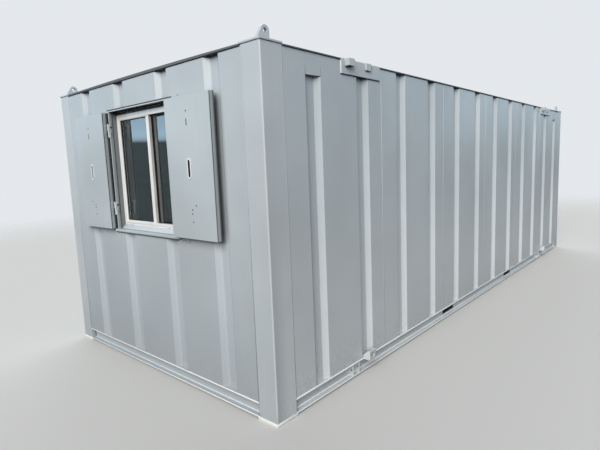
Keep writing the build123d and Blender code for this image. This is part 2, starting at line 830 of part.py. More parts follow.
# Door hinges: barrels in front of the jamb, each on a strap on the leaf's face
leaf_half = door_clear_width / 2 - door_gap
hinge_edge = door_x + leaf_half
door_face_y = half_width - door_set_in
hinge_step = (door_clear_height - 2 * door_hinge_inset) / (door_hinge_count - 1)
with BuildPart() as door_hinges:
    for index in range(door_hinge_count):
        level = door_bottom + door_hinge_inset + index * hinge_step - door_hinge_length / 2
        with BuildSketch(Plane.XY.offset(level)):
            with Locations((hinge_edge, half_width + door_barrel)):
                Circle(door_barrel)
            with Locations((hinge_edge, door_face_y)):
                Rectangle(door_hinge_strap, door_set_in + door_barrel, align=(Align.MAX, Align.MIN))
        extrude(amount=door_hinge_length)
save(door_hinges, "door_hinges")

# Door handle: a plate on the leaf's face with a round lever turned towards the hinges
handle_x = door_x - leaf_half + handle_from_edge
handle_level = door_bottom + handle_height
with BuildPart() as door_handle:
    with BuildSketch(back_face.offset(-door_set_in)):
        with Locations((-handle_x, handle_level)):
            RectangleRounded(handle_plate_width, handle_plate_height, handle_plate_round)
    extrude(amount=handle_plate_thick)
    with BuildSketch(back_face.offset(-door_set_in)):
        with Locations((-handle_x, handle_level)):
            Circle(lever_radius)
    extrude(amount=lever_stand_off)
    with BuildSketch(Plane.YZ.offset(handle_x)):
        with Locations((door_face_y + lever_stand_off - lever_radius, handle_level)):
            Circle(lever_radius)
    extrude(amount=lever_reach)
save(door_handle, "door_handle")
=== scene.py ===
import bpy
import math
from mathutils import Matrix, Vector


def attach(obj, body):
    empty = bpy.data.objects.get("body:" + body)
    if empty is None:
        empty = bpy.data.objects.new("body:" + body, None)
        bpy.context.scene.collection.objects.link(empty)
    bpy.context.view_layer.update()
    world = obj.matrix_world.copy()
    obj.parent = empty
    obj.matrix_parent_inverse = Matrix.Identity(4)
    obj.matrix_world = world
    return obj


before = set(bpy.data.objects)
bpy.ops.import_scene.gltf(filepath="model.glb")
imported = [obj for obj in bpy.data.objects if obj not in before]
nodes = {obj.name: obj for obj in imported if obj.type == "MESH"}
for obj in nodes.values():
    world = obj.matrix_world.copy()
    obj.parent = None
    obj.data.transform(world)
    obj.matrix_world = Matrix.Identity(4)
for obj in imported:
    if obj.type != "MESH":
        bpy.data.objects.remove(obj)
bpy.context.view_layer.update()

# Camera: held at 1.66 m by someone standing off the corner where the window end meets the
# front long side, and tipped a little to one side.
eye_place = Vector((-5.5913, -3.3304, 1.6635))
eye_heading = math.radians(-48.607)
eye_tilt = math.radians(90 - 7.522)
eye_roll = math.radians(-2.259)
bpy.ops.object.camera_add()
camera = bpy.context.object
camera.matrix_world = (
    Matrix.Translation(eye_place)
    @ Matrix.Rotation(eye_heading, 4, "Z")
    @ Matrix.Rotation(eye_tilt, 4, "X")
    @ Matrix.Rotation(eye_roll, 4, "Z")
)
camera.data.lens = 27.63
camera.data.sensor_width = 36
camera.data.clip_end = 200
bpy.context.scene.camera = camera
bpy.context.scene.view_settings.view_transform = "Standard"

# Stage: a pale floor that fades out round the cabin into a plain overcast surround. Only
# the camera and clear glass see it pale: the cabin is lit from below by a darker one, and
# sees a darker one still in its gloss, a painted reflection.
floor_colour = (0.60, 0.60, 0.59, 1)
dark_floor_colour = (0.055, 0.050, 0.045, 1)
floor_in_gloss_colour = (0.030, 0.034, 0.036, 1)
floor_radius = 60
fade_start, fade_end = 8.0, 17.0


def add_node(tree, kind, inputs=(), **settings):
    """Adds a shader node, each named input fed by a value or by another node's output."""
    made = tree.nodes.new(kind)
    for key, value in settings.items():
        setattr(made, key, value)
    for key, value in dict(inputs).items():
        if isinstance(value, bpy.types.NodeSocket):
            tree.links.new(value, made.inputs[key])
        else:
            made.inputs[key].default_value = value
    return made


def maths(tree, operation, *values):
    """The result of a sum on shader values."""
    return add_node(tree, "ShaderNodeMath", dict(enumerate(values)), operation=operation).outputs[0]


def times(tree, one, other):
    """The product of two shader values."""
    return maths(tree, "MULTIPLY", one, other)


def share(tree, value, low, high, top=1.0, bottom=0.0, **settings):
    """A value that goes from bottom to top while a shader value goes from low to high."""
    inputs = {"Value": value, "From Min": low, "From Max": high, "To Min": bottom, "To Max": top}
    return add_node(tree, "ShaderNodeMapRange", inputs, **settings).outputs["Result"]


def tint(tree, under, over, amount):
    """One shader colour laid over another by an amount."""
    return add_node(tree, "ShaderNodeMixRGB", {0: amount, 1: under, 2: over}).outputs[0]


def plain_view(tree):
    """The light path, and whether it comes straight from the camera or through clear glass."""
    path = add_node(tree, "ShaderNodeLightPath").outputs
    return path, maths(tree, "MAXIMUM", path["Is Camera Ray"], path["Is Transmission Ray"])


bpy.ops.object.select_all(action="DESELECT")
bpy.ops.mesh.primitive_circle_add(vertices=96, radius=floor_radius, fill_type="NGON")
floor = bpy.context.object
floor.name = "studio_floor"
floor_material = bpy.data.materials.new("studio_floor")
floor_material.use_nodes = True
tree = floor_material.node_tree
shader = tree.nodes["Principled BSDF"]
shader.inputs["Roughness"].default_value = 0.95
shader.inputs["Specular IOR Level"].default_value = 0.0
path, seen = plain_view(tree)
dark_floor = tint(tree, dark_floor_colour, floor_in_gloss_colour, path["Is Glossy Ray"])
tree.links.new(tint(tree, dark_floor, floor_colour, seen), shader.inputs["Base Color"])
place = add_node(tree, "ShaderNodeTexCoord").outputs["Object"]
distance = add_node(tree, "ShaderNodeVectorMath", {0: place}, operation="LENGTH").outputs["Value"]
fade = share(tree, distance, fade_start, fade_end, interpolation_type="SMOOTHSTEP")
clear = add_node(tree, "ShaderNodeBsdfTransparent").outputs["BSDF"]
layers = {0: times(tree, fade, seen), 1: shader.outputs["BSDF"], 2: clear}
surface = add_node(tree, "ShaderNodeMixShader", layers).outputs[0]
tree.links.new(surface, tree.nodes["Material Output"].inputs["Surface"])
floor.data.materials.append(floor_material)

# Surround: pale to the camera, a soft grey-blue fill for the shade, and in gloss a bright
# cloudy sky over a dark strip of distance.
backdrop_colour = (0.78, 0.81, 0.84, 1)
fill_colour = (0.222, 0.244, 0.274, 1)
sky_colours = (
    (0.000, (0.030, 0.034, 0.038, 1)),
    (0.5305, (0.040, 0.052, 0.062, 1)),
    (0.5315, (1.36, 1.98, 2.42, 1)),
    (0.545, (1.12, 1.66, 2.08, 1)),
    (0.600, (0.76, 1.08, 1.40, 1)),
    (1.000, (0.46, 0.60, 0.80, 1)),
)


def axes(tree, vector):
    """A shader vector's parts along X, Y and Z."""
    return add_node(tree, "ShaderNodeSeparateXYZ", {0: vector}).outputs


world = bpy.data.worlds.new("overcast")
bpy.context.scene.world = world
world.use_nodes = True
tree = world.node_tree
direction = add_node(tree, "ShaderNodeTexCoord").outputs["Generated"]
rise = share(tree, axes(tree, direction)["Z"], -1.0, 1.0)
sky = add_node(tree, "ShaderNodeValToRGB", {0: rise})
stops = sky.color_ramp.elements
while len(stops) < len(sky_colours):
    stops.new(1.0)
for stop, (position, colour) in zip(stops, sky_colours):
    stop.position = position
    stop.color = colour
path, seen = plain_view(tree)
tone = tint(tree, fill_colour, sky.outputs["Color"], path["Is Glossy Ray"])
tone = tint(tree, tone, backdrop_colour, seen)
tree.links.new(tone, tree.nodes["Background"].inputs["Color"])

# Light: thin cloud with the sun behind it beyond the window end's corner, and a weaker
# light from the far corner so that the sides away from the camera aren't lost.
lamps = (
    ("cloud_light", (-0.78, -0.46, 0.52), (1.0, 0.97, 0.92), 3.68, 50),
    ("far_light", (0.70, 0.62, 0.55), (0.90, 0.95, 1.0), 1.9, 70),
)
for name, toward, colour, strength, spread in lamps:
    bpy.ops.object.light_add(type="SUN")
    lamp = bpy.context.object
    lamp.name = name
    lamp.rotation_euler = Vector(toward).to_track_quat("Z", "Y").to_euler()
    lamp.data.color = colour
    lamp.data.energy = strength
    lamp.data.angle = math.radians(spread)

# Base rails and fork pockets: folded channels of 6 mm steel, butted and welded between the
# posts, with two tubes through them and a strap welded under each tube. Near-white strips
# along the flanges' outer edges and the fold at the web's foot paint their highlight.
cabin_colour = (0.475, 0.530, 0.570, 1)
road_dust = (0.34, 0.32, 0.29, 1)
rust_colour = (0.20, 0.085, 0.035, 1)
chalk = (0.66, 0.70, 0.72, 1)
painted_low_shade = (0.29, 0.33, 0.365, 1)
pale_edge_and_highlight = (0.82, 0.86, 0.89, 1)
nook_shade = (0.045, 0.049, 0.054, 1)
web_shade = (0.25, 0.275, 0.275, 1)
tube_shade = (0.010, 0.010, 0.010, 1)
lip_highlight_colour = (0.90, 0.93, 0.95, 1)
half_length, half_width = 7.315 / 2, 2.743 / 2
post_side, post_end = 0.186, 0.165
rail_bottom, rail_top, rail_in = 0.015, 0.115, 0.039
flange = 0.006
rail_hollow = (rail_bottom + flange, rail_top - flange)
pocket_places = (-0.978, 0.978)
pocket_half = 0.1485
pocket_hollow = (0.026, 0.112)
bead = 0.004
side_lips = ((rail_top - 0.0055, rail_top + 0.0060, 0.0045), (0.0130, 0.0230, 0.0030))
end_lips = ((rail_top - 0.0050, rail_top + 0.0040, 0.0035), (0.0130, 0.0225, 0.0030))
lip_sunk, lip_edge = 0.002, 0.0023


def noise(tree, place, scale, detail=2.0):
    """A cloudy pattern through space; three scales stretch it along the axes."""
    if isinstance(scale, tuple):
        place = add_node(tree, "ShaderNodeMapping", {0: place, "Scale": scale}).outputs[0]
        scale = 1.0
    inputs = {"Vector": place, "Scale": scale, "Detail": detail}
    return add_node(tree, "ShaderNodeTexNoise", inputs).outputs[0]


def bumped(tree, height, strength, distance, normal=None):
    """A surface normal roughened by a height pattern."""
    inputs = {"Height": height, "Strength": strength, "Distance": distance}
    if normal is not None:
        inputs["Normal"] = normal
    return add_node(tree, "ShaderNodeBump", inputs).outputs[0]


def eased(tree, radius):
    """The surface normal with its corners rounded."""
    return add_node(tree, "ShaderNodeBevel", {"Radius": radius}, samples=4).outputs[0]


def openness(tree, reach):
    """How open to the air a surface is, from 0 deep in a nook to 1."""
    return add_node(tree, "ShaderNodeAmbientOcclusion", {"Distance": reach}, samples=8).outputs["AO"]


def shaded(colour, by):
    """A colour made lighter or darker."""
    return tuple(by * part for part in colour[:3]) + (1,)


def new_finish(name):
    """A fresh material: its node tree, its shader and the place on the object."""
    material = bpy.data.materials.new(name)
    material.use_nodes = True
    tree = material.node_tree
    place = add_node(tree, "ShaderNodeTexCoord").outputs["Object"]
    return material, tree, tree.nodes["Principled BSDF"], place


def dress(tree, shader, tone, roughness, normal):
    """Gives a shader its colour, its roughness and its surface normal."""
    tree.links.new(tone, shader.inputs["Base Color"])
    tree.links.new(normal, shader.inputs["Normal"])
    if isinstance(roughness, float):
        shader.inputs["Roughness"].default_value = roughness
    else:
        tree.links.new(roughness, shader.inputs["Roughness"])


def painted_steel(
    name,
    colour,
    dust=0.55,
    shine=(0.33, 0.47),
    dents=0.30,
    edge_wear_and_highlight=0.55,
    edge=0.006,
    nook_shading=0.72,
    low_shading=0.68,
    reach=0.14,
    coats=(),
):
    """Sprayed satin paint: slow shades, rain streaks, splashed dust low down, painted shade
    where pieces meet and in hollows, painted shade towards the foot of the ends, and pale
    edges that are partly worn paint and partly a painted highlight. Coats are further
    painted shades and highlights, each laid on where its ramps are full: a ramp is an axis,
    where it is nothing and where it is full. X is taken as the distance from the cabin's
    middle."""
    material, tree, shader, place = new_finish(name)
    cloud = noise(tree, place, 0.9, 3.0)
    streak = noise(tree, place, (7.0, 7.0, 0.30), 4.0)
    trickle = noise(tree, place, (38.0, 38.0, 0.9), 3.0)
    speck = noise(tree, place, 60.0, 2.0)
    deep = shaded(colour, 0.88)
    tone = tint(tree, deep, shaded(colour, 1.06), share(tree, cloud, 0.34, 0.66))
    tone = tint(tree, tone, deep, share(tree, streak, 0.52, 0.74, 0.32))
    tone = tint(tree, tone, road_dust, share(tree, trickle, 0.62, 0.84, 0.08))
    spot = axes(tree, place)
    level = spot["Z"]
    along = maths(tree, "ABSOLUTE", spot["X"])
    at_end = share(tree, along, half_length - 0.12, half_length - 0.02)
    at_side = share(tree, at_end, 1.0, 0.0)
    # Painted shade: the ends grow darker towards the bottom.
    tone = tint(tree, tone, painted_low_shade, times(tree, share(tree, level, 1.30, 0.10, low_shading), at_end))
    tone = tint(tree, tone, chalk, times(tree, share(tree, level, 1.60, 0.25, 0.50), at_side))
    splash = times(tree, share(tree, level, 0.40, 0.04), share(tree, speck, 0.40, 0.70, dust))
    tone = tint(tree, tone, road_dust, splash)
    for shade, amount, ramps in coats:
        for axis, nothing, full in ramps:
            distance = along if axis == "X" else spot[axis]
            amount = times(tree, share(tree, distance, nothing, full), amount)
        tone = tint(tree, tone, shade, amount)
    chip = times(tree, share(tree, speck, 0.745, 0.77), share(tree, cloud, 0.52, 0.64))
    tone = tint(tree, tone, rust_colour, chip)
    # Painted shade: the paint darkens where nearby parts shut the surface in, less so low down.
    open_air = openness(tree, reach)
    shade_by_height = share(tree, level, 0.15, 0.55, bottom=0.35)
    tone = tint(tree, tone, nook_shade, times(tree, share(tree, open_air, 0.68, 0.20, nook_shading), shade_by_height))
    # Pale edges: partly worn paint and partly a painted highlight on every edge.
    rounded = eased(tree, edge)
    true_normal = add_node(tree, "ShaderNodeNewGeometry").outputs["True Normal"]
    pair = {0: rounded, 1: true_normal}
    flatness = add_node(tree, "ShaderNodeVectorMath", pair, operation="DOT_PRODUCT").outputs["Value"]
    worn_and_lit_edges = times(tree, share(tree, flatness, 0.985, 0.86), share(tree, open_air, 0.72, 0.90, edge_wear_and_highlight))
    tone = tint(tree, tone, pale_edge_and_highlight, worn_and_lit_edges)
    satin = share(tree, streak, 0.0, 1.0, shine[1], shine[0])
    swell = bumped(tree, noise(tree, place, 2.6, 1.0), dents, 0.012, rounded)
    peel = bumped(tree, noise(tree, place, 420.0, 1.0), 0.08, 0.0015, swell)
    dress(tree, shader, tone, satin, peel)
    return material


def finish_nodes(names, material):
    """Gives CAD pieces their finish."""
    for name in names:
        for slot in nodes[name].material_slots:
            slot.material = material


def around(middle, half):
    """The span that reaches as far to both sides of a middle."""
    return middle - half, middle + half


def proud(face, toward, out, sunk=0.0):
    """The span that stands out of a face and is sunk into it."""
    return face - toward * sunk, face + toward * out


def new_block(x, y, z):
    """A block over three spans, with nothing else selected."""
    low = Vector([min(span) for span in (x, y, z)])
    high = Vector([max(span) for span in (x, y, z)])
    bpy.ops.object.select_all(action="DESELECT")
    bpy.ops.mesh.primitive_cube_add(size=1, location=(low + high) / 2, scale=high - low)
    bpy.ops.object.transform_apply(location=True, rotation=True, scale=True)
    return bpy.context.object


def finish_edges(edge):
    """Rounds the sharp edges of the piece in hand."""
    bpy.ops.object.mode_set(mode="EDIT")
    bpy.ops.mesh.select_mode(type="EDGE")
    bpy.ops.mesh.select_all(action="DESELECT")
    bpy.ops.mesh.edges_select_sharp(sharpness=math.radians(30))
    bpy.ops.mesh.bevel(offset=edge, segments=2, affect="EDGES")
    bpy.ops.mesh.select_all(action="SELECT")
    bpy.ops.mesh.normals_make_consistent(inside=False)
    bpy.ops.object.mode_set(mode="OBJECT")
    bpy.ops.object.shade_smooth_by_angle(angle=math.radians(40))
    return bpy.context.object


def rounded_bar(x, y, z, edge):
    """A straight bar over three spans, all its edges rounded."""
    new_block(x, y, z)
    return finish_edges(edge)


def fixed(name, pieces, material, body="cabin"):
    """Joins like pieces into one, names it, and gives it its finish and its body."""
    bpy.ops.object.select_all(action="DESELECT")
    for piece in pieces:
        piece.select_set(True)
    bpy.context.view_layer.objects.active = pieces[0]
    if len(pieces) > 1:
        bpy.ops.object.join()
    whole = bpy.context.object
    whole.name = name
    whole.data.name = name
    whole.data.materials.clear()
    whole.data.materials.append(material)
    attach(whole, body)
    return whole


cabin_paint = painted_steel("cabin_paint", cabin_colour)
# Painted shade: the web set back between the flanges is painted darker.
web_ramps = (("Z", 0.026, 0.034), ("Z", 0.1095, 0.1030))
rail_paint = painted_steel(
    "rail_paint",
    cabin_colour,
    dust=0.15,
    edge_wear_and_highlight=0.6,
    edge=0.008,
    nook_shading=0.22,
    low_shading=0.3,
    coats=((web_shade, 0.30, web_ramps),),
)
# Painted highlight: a near-white paint for pieces that stand for bright edge lines.
highlight_paint = painted_steel(
    "highlight_paint", lip_highlight_colour, dust=0.1, edge_wear_and_highlight=0.0, nook_shading=0.15, low_shading=0.1
)
rails = ("base_rail_front", "base_rail_back", "base_rail_window_end", "base_rail_plain_end")
finish_nodes(rails, rail_paint)
# Painted shade: the insides of the fork tubes are painted near-black.
tube_shade_coats = ((tube_shade, 0.95, (("Y", -1.331, -1.323), ("Y", 1.331, 1.323))),)
pocket_paint = painted_steel("pocket_paint", cabin_colour, dust=0.15, nook_shading=0.4, coats=tube_shade_coats)
finish_nodes(("fork_pocket_left", "fork_pocket_right"), pocket_paint)
rail_beads = []
highlight_lips = []
for across in (-1, 1):
    face = across * half_width
    web = across * (half_width - rail_in)
    run = around(0, half_length - post_side)
    for low, high, out in side_lips:
        highlight_lips.append(rounded_bar(run, proud(face, across, out, lip_sunk), (low, high), lip_edge))
    highlight_lips.append(rounded_bar(run, proud(web, across, 0.007), (0.0215, 0.0325), 0.0033))
    for end in run:
        rail_beads.append(rounded_bar(around(end, bead), proud(web, across, bead), rail_hollow, 0.0015))
    for middle in pocket_places:
        for edge in around(middle, pocket_half):
            pocket_skin = proud(web, across, 0.005)
            rail_beads.append(rounded_bar(around(edge, 0.006), pocket_skin, pocket_hollow, 0.002))
for along in (-1, 1):
    face = along * half_length
    web = along * (half_length - rail_in)
    run = around(0, half_width - post_end)
    for low, high, out in end_lips:
        highlight_lips.append(rounded_bar(proud(face, along, out, lip_sunk), run, (low, high), lip_edge))
    highlight_lips.append(rounded_bar(proud(web, along, 0.0032), run, (0.0210, 0.0256), 0.0014))
fixed("rail_weld_beads", rail_beads, rail_paint)
fixed("rail_highlight_lips", highlight_lips, highlight_paint)

# Floor: pressed bearers under a deck of resin-faced ply, both dark and dull from below.
# The top rails under the roof have the same plain paint.
underside_colour = (0.055, 0.060, 0.064, 1)
ply_length, ply_width = 2.44, 1.22
ply_tones = (0.155, 0.100, 0.062, 1), (0.125, 0.082, 0.052, 1)
ply_joint = (0.02, 0.015, 0.012, 1)
ply_grain = (0.21, 0.15, 0.10, 1)
underside_steel = painted_steel(
    "underside_steel", underside_colour, dust=0.7, shine=(0.55, 0.75), dents=0.1, edge_wear_and_highlight=0.1
)
finish_nodes(("floor_bearers", "top_rails"), underside_steel)
deck_board, tree, shader, place = new_finish("deck_board")
grain = noise(tree, place, (2.0, 60.0, 8.0), 5.0)
ply = {"Vector": place, "Color1": ply_tones[0], "Color2": ply_tones[1], "Mortar": ply_joint}
ply.update({"Scale": 1.0, "Mortar Size": 0.004, "Brick Width": ply_length, "Row Height": ply_width})
boards = add_node(tree, "ShaderNodeTexBrick", ply).outputs["Color"]
tone = tint(tree, boards, ply_grain, share(tree, grain, 0.40, 0.75, 0.5))
tone = tint(tree, tone, road_dust, share(tree, noise(tree, place, 3.0, 4.0), 0.50, 0.80, 0.35))
dress(tree, shader, tone, 0.62, bumped(tree, grain, 0.2, 0.001))
finish_nodes(("floor_deck",), deck_board)

# Corner posts: 4 mm plate folded round each corner, standing on a foot plate to which
# they are welded all round, with the wall sheets welded to their edges. Darker strips at
# the long sides' post edges paint the shadow of the step there; the posts' pale folded
# edges are partly worn paint and partly a painted highlight.
post_colour = (0.510, 0.562, 0.600, 1)
foot_colour = (0.90, 0.90, 0.88, 1)
roof_bottom = 2.377
foot_top, foot_bead_top = 0.015, 0.020
wall_height = (rail_top, roof_bottom)
# The posts' paint takes broad pale edges, a painted highlight on the folded corners.
post_paint = painted_steel("post_paint", post_colour, dust=0.2, edge_wear_and_highlight=0.75, edge=0.011, low_shading=0.35)
foot_paint = painted_steel("foot_paint", foot_colour, dust=0.1, edge_wear_and_highlight=0.0, nook_shading=0.15, low_shading=0.05)
# Painted shadow: a darker paint for the strips at the long sides' post edges.
seam_shadow_paint = painted_steel("seam_shadow_paint", shaded(cabin_colour, 0.80), edge_wear_and_highlight=0.0, nook_shading=0.3)
# Painted highlight: weld beads are painted a little lighter than the walls.
bead_highlight_paint = painted_steel("bead_highlight_paint", shaded(cabin_colour, 1.06), dust=0.2, edge_wear_and_highlight=0.2, nook_shading=0.3)
finish_nodes([name for name in nodes if name.startswith("corner_post")], post_paint)
finish_nodes(("foot_plates",), foot_paint)
post_beads = []
foot_beads = []
side_shadow_lines = []
for along in (-1, 1):
    for across in (-1, 1):
        face_x, face_y = along * half_length, across * half_width
        side_x, end_y = face_x - along * post_side, face_y - across * post_end
        foot_level = (foot_top, foot_bead_top)
        side_skin = proud(face_y, across, 0.0007, 0.001)
        side_shadow_lines.append(rounded_bar(around(side_x, 0.002), side_skin, wall_height, 0.0003))
        end_skin = proud(face_x, along, 0.0016)
        post_beads.append(rounded_bar(end_skin, around(end_y, 0.003), wall_height, 0.0007))
        foot_beads.append(rounded_bar(around(face_x, bead), (face_y, end_y), foot_level, 0.0015))
        foot_beads.append(rounded_bar((face_x, side_x), around(face_y, bead), foot_level, 0.0015))
fixed("post_weld_beads", post_beads, bead_highlight_paint)
fixed("foot_weld_beads", foot_beads, foot_paint)
fixed("post_side_shadow_lines", side_shadow_lines, seam_shadow_paint)

# Lifting corners: a 12 mm cap plate on each post and a thick ring lug welded upright on
# it, the fillet weld running along both sides of the lug's foot.
cap_top = 2.397
eye_in_x, eye_in_y = 0.100, 0.060
lug_out, lug_in, lug_half = 0.041, 0.083, 0.011
lug_bead_level = (cap_top - 0.002, cap_top + 0.007)
finish_nodes([name for name in nodes if name.startswith("lifting_corner")], cabin_paint)
lug_beads = []
for along in (-1, 1):
    for across in (-1, 1):
        eye_x = along * (half_length - eye_in_x)
        eye_y = across * (half_width - eye_in_y)
        for face in around(eye_y, lug_half):
            lug_run = proud(eye_x, along, lug_out, lug_in)
            lug_beads.append(rounded_bar(lug_run, around(face, 0.006), lug_bead_level, 0.004))
fixed("lug_weld_beads", lug_beads, cabin_paint)

# Walls: pressed 3 mm sheets with inward ribs, two ribs a sheet, seam-welded to each other;
# a dark mastic strip along their tops paints the shadow under the roof's edge, and flush
# plates close the end ribs' tops. On the end wall, painted shadow lies beside and under the
# places where the leaves rest open.
leaf_shadow = (0.085, 0.092, 0.098, 1)
mastic_shades = (0.030, 0.032, 0.034, 1), (0.075, 0.078, 0.080, 1)
sheet_joints = (-2.341, -1.183, -0.025, 1.133, 2.291)
door_head_joint, door_head_top = 1.133, 2.182
cover_bottom, cover_half = 2.234, 0.0775
cover_ribs = (-3.1845, 3.1845)
cover_height = (cover_bottom, roof_bottom)
skin_sunk = 0.001
right_in, left_in = ("Y", -0.44, -0.46), ("Y", 0.48, 0.50)
# Painted shadow: the coats darken the wall beside the right leaf's outer edge and under both leaves.
end_wall_paint = painted_steel(
    "end_wall_paint",
    cabin_colour,
    coats=(
        (leaf_shadow, 0.26, (("Y", -1.022, -1.006), ("Y", -0.90, -0.94), ("Z", 1.15, 1.22), ("Z", 2.16, 2.08))),
        (leaf_shadow, 0.18, (right_in, ("Y", -0.955, -0.925), ("Z", 1.085, 1.180), ("Z", 1.24, 1.18))),
        (leaf_shadow, 0.16, (left_in, ("Y", 1.00, 0.98), ("Z", 1.095, 1.180), ("Z", 1.24, 1.18))),
        (nook_shade, 0.20, (right_in, ("Y", -0.948, -0.938), ("Z", 1.145, 1.158), ("Z", 1.20, 1.18))),
        (nook_shade, 0.16, (left_in, ("Y", 0.995, 0.985), ("Z", 1.147, 1.160), ("Z", 1.20, 1.18))),
    ),
)
flush_paint = painted_steel("flush_paint", cabin_colour, edge_wear_and_highlight=0.0)


def dull_finish(name, grain, shades, spread, roughness, relief, specular=0.5):
    """A dull finish between two shades of one pattern, which may also set its roughness."""
    material, tree, shader, place = new_finish(name)
    pattern = noise(tree, place, *grain)
    tone = tint(tree, *shades, share(tree, pattern, *spread))
    if isinstance(roughness, tuple):
        roughness = share(tree, pattern, *roughness)
    dress(tree, shader, tone, roughness, bumped(tree, pattern, *relief))
    shader.inputs["Specular IOR Level"].default_value = specular
    return material


mastic = dull_finish("mastic", (30.0, 3.0), mastic_shades, (0.4, 0.7), 0.7, (0.5, 0.002))
finish_nodes(("front_wall", "back_wall", "plain_end_wall"), cabin_paint)
finish_nodes(("window_end_wall",), end_wall_paint)
wall_beads = []
flush_beads = []
eaves_shadow_strips = []
for across in (-1, 1):
    skin = proud(across * half_width, across, 0.001, skin_sunk)
    for joint in sheet_joints:
        start = door_head_top if across > 0 and joint == door_head_joint else rail_top
        wall_beads.append(rounded_bar(around(joint, bead), skin, (start, roof_bottom), 0.0008))
    for rib in cover_ribs:
        for edge in around(rib, cover_half):
            flush_beads.append(rounded_bar(around(edge, 0.002), skin, cover_height, 0.0004))
        cover_foot = (cover_bottom, cover_bottom + bead)
        wall_beads.append(rounded_bar(around(rib, cover_half), skin, cover_foot, 0.0008))
    run = around(0, half_length - post_side)
    eaves_shadow_strips.append(rounded_bar(run, skin, (roof_bottom - 0.004, roof_bottom), 0.0009))
for along in (-1, 1):
    skin = proud(along * half_length, along, 0.0008, skin_sunk)
    run = around(0, half_width - post_end)
    eaves_shadow_strips.append(rounded_bar(skin, run, (roof_bottom - 0.006, roof_bottom), 0.0009))
fixed("wall_weld_beads", wall_beads, bead_highlight_paint)
fixed("flush_weld_beads", flush_beads, flush_paint)
# Painted shadow: the dark strip along the walls' tops under the roof's edge.
fixed("eaves_shadow_strip", eaves_shadow_strips, mastic)

# Wall rivets: two blind rivets with low domed heads, left in the window end's sheets and
# painted over with them.
rivet_places = ((-half_length, 1.155, 2.309), (-half_length, -0.536, 2.179))


def pick_faces(piece, wanted):
    """Opens a piece for editing with only the wanted faces selected."""
    bpy.ops.object.mode_set(mode="EDIT")
    bpy.ops.mesh.select_mode(type="FACE")
    bpy.ops.mesh.select_all(action="DESELECT")
    bpy.ops.object.mode_set(mode="OBJECT")
    for face in piece.data.polygons:
        face.select = wanted(face)
    bpy.ops.object.mode_set(mode="EDIT")


def copied(piece, step):
    """A copy of a finished piece, with its own mesh, moved by a step."""
    twin = piece.copy()
    twin.data = piece.data.copy()
    twin.data.transform(Matrix.Translation(step))
    bpy.context.collection.objects.link(twin)
    return twin


def fastener_heads(places, toward, radius, rise, hollow=0.3):
    """Round heads on a face: one stepped crown with a sunk middle, copied to each place."""
    places = [Vector(place) for place in places]
    toward = Vector(toward)
    bpy.ops.object.select_all(action="DESELECT")
    bpy.ops.mesh.primitive_cylinder_add(
        vertices=16,
        radius=radius,
        depth=2 * rise,
        location=places[0],
        rotation=toward.to_track_quat("Z", "Y").to_euler(),
    )
    bpy.ops.object.transform_apply(location=True, rotation=True, scale=True)
    head = bpy.context.object
    pick_faces(head, lambda face: face.normal.dot(toward) > 0.9)
    bpy.ops.mesh.inset(thickness=0.18 * radius, depth=0.30 * rise)
    bpy.ops.mesh.inset(thickness=0.24 * radius, depth=0.12 * rise)
    bpy.ops.mesh.inset(thickness=0.06 * radius, depth=-hollow * rise)
    bpy.ops.object.mode_set(mode="OBJECT")
    bpy.ops.object.shade_smooth_by_angle(angle=math.radians(40))
    return [head] + [copied(head, place - places[0]) for place in places[1:]]


rivets = fastener_heads(rivet_places, (-1, 0, 0), 0.008, 0.0022)
fixed("wall_rivets", rivets, cabin_paint)

# Roof: steel sheets lapped across the cabin and folded down at the edges, dulled by
# weather, with dark algae and leaf stains that have run down to the sides.
roof_shades = (0.33, 0.365, 0.385, 1), (0.45, 0.485, 0.50, 1)
algae = (0.165, 0.17, 0.15, 1)
leaf_spot = (0.10, 0.095, 0.075, 1)
side_stain = (0.12, 0.12, 0.105, 1)
fold_shade = (0.13, 0.145, 0.155, 1)
lap_places = (-3.05, -1.83, -0.61, 0.61, 1.83, 3.05)
lap_half, lap_rise, lap_reach = 0.015, 0.0025, 1.36
roof_top = 2.397
crown_radius = 79.3
roof_steel, tree, shader, place = new_finish("roof_steel")
cloud = noise(tree, place, 0.7, 4.0)
stain = noise(tree, place, (3.4, 0.55, 1.0), 6.0)
spots = noise(tree, place, 26.0, 4.0)
tone = tint(tree, *roof_shades, share(tree, cloud, 0.34, 0.66))
tone = tint(tree, tone, algae, share(tree, stain, 0.50, 0.76, 0.75))
spotted = times(tree, share(tree, spots, 0.60, 0.72), share(tree, cloud, 0.4, 0.6, 0.6))
tone = tint(tree, tone, leaf_spot, spotted)
to_side = share(tree, maths(tree, "ABSOLUTE", axes(tree, place)["Y"]), 1.05, 1.37)
tone = tint(tree, tone, side_stain, times(tree, to_side, share(tree, stain, 0.3, 0.7, 0.8)))
facing = axes(tree, add_node(tree, "ShaderNodeNewGeometry").outputs["True Normal"])["Z"]
# Painted shade: faces that turn away from the sky, the folded edges, are painted darker.
tone = tint(tree, fold_shade, tone, share(tree, facing, 0.3, 0.9))
swell = bumped(tree, noise(tree, place, 1.6, 2.0), 0.5, 0.02, eased(tree, 0.003))
dress(tree, shader, tone, share(tree, stain, 1.6, -0.6, 1.35), bumped(tree, spots, 0.15, 0.002, swell))
shader.inputs["Specular IOR Level"].default_value = 0.25
finish_nodes(("roof",), roof_steel)
arc = math.asin(lap_reach / crown_radius)
lap_height = roof_top - crown_radius * (1 - math.cos(arc)) + lap_rise / 2
lap_start = Vector((lap_places[0], -lap_reach, lap_height))
bpy.ops.object.select_all(action="DESELECT")
bpy.ops.mesh.primitive_plane_add(size=1, location=lap_start, rotation=(math.pi / 2, 0, 0))
bpy.ops.object.transform_apply(location=True, rotation=True, scale=True)
bpy.ops.object.mode_set(mode="EDIT")
bpy.ops.mesh.select_all(action="SELECT")
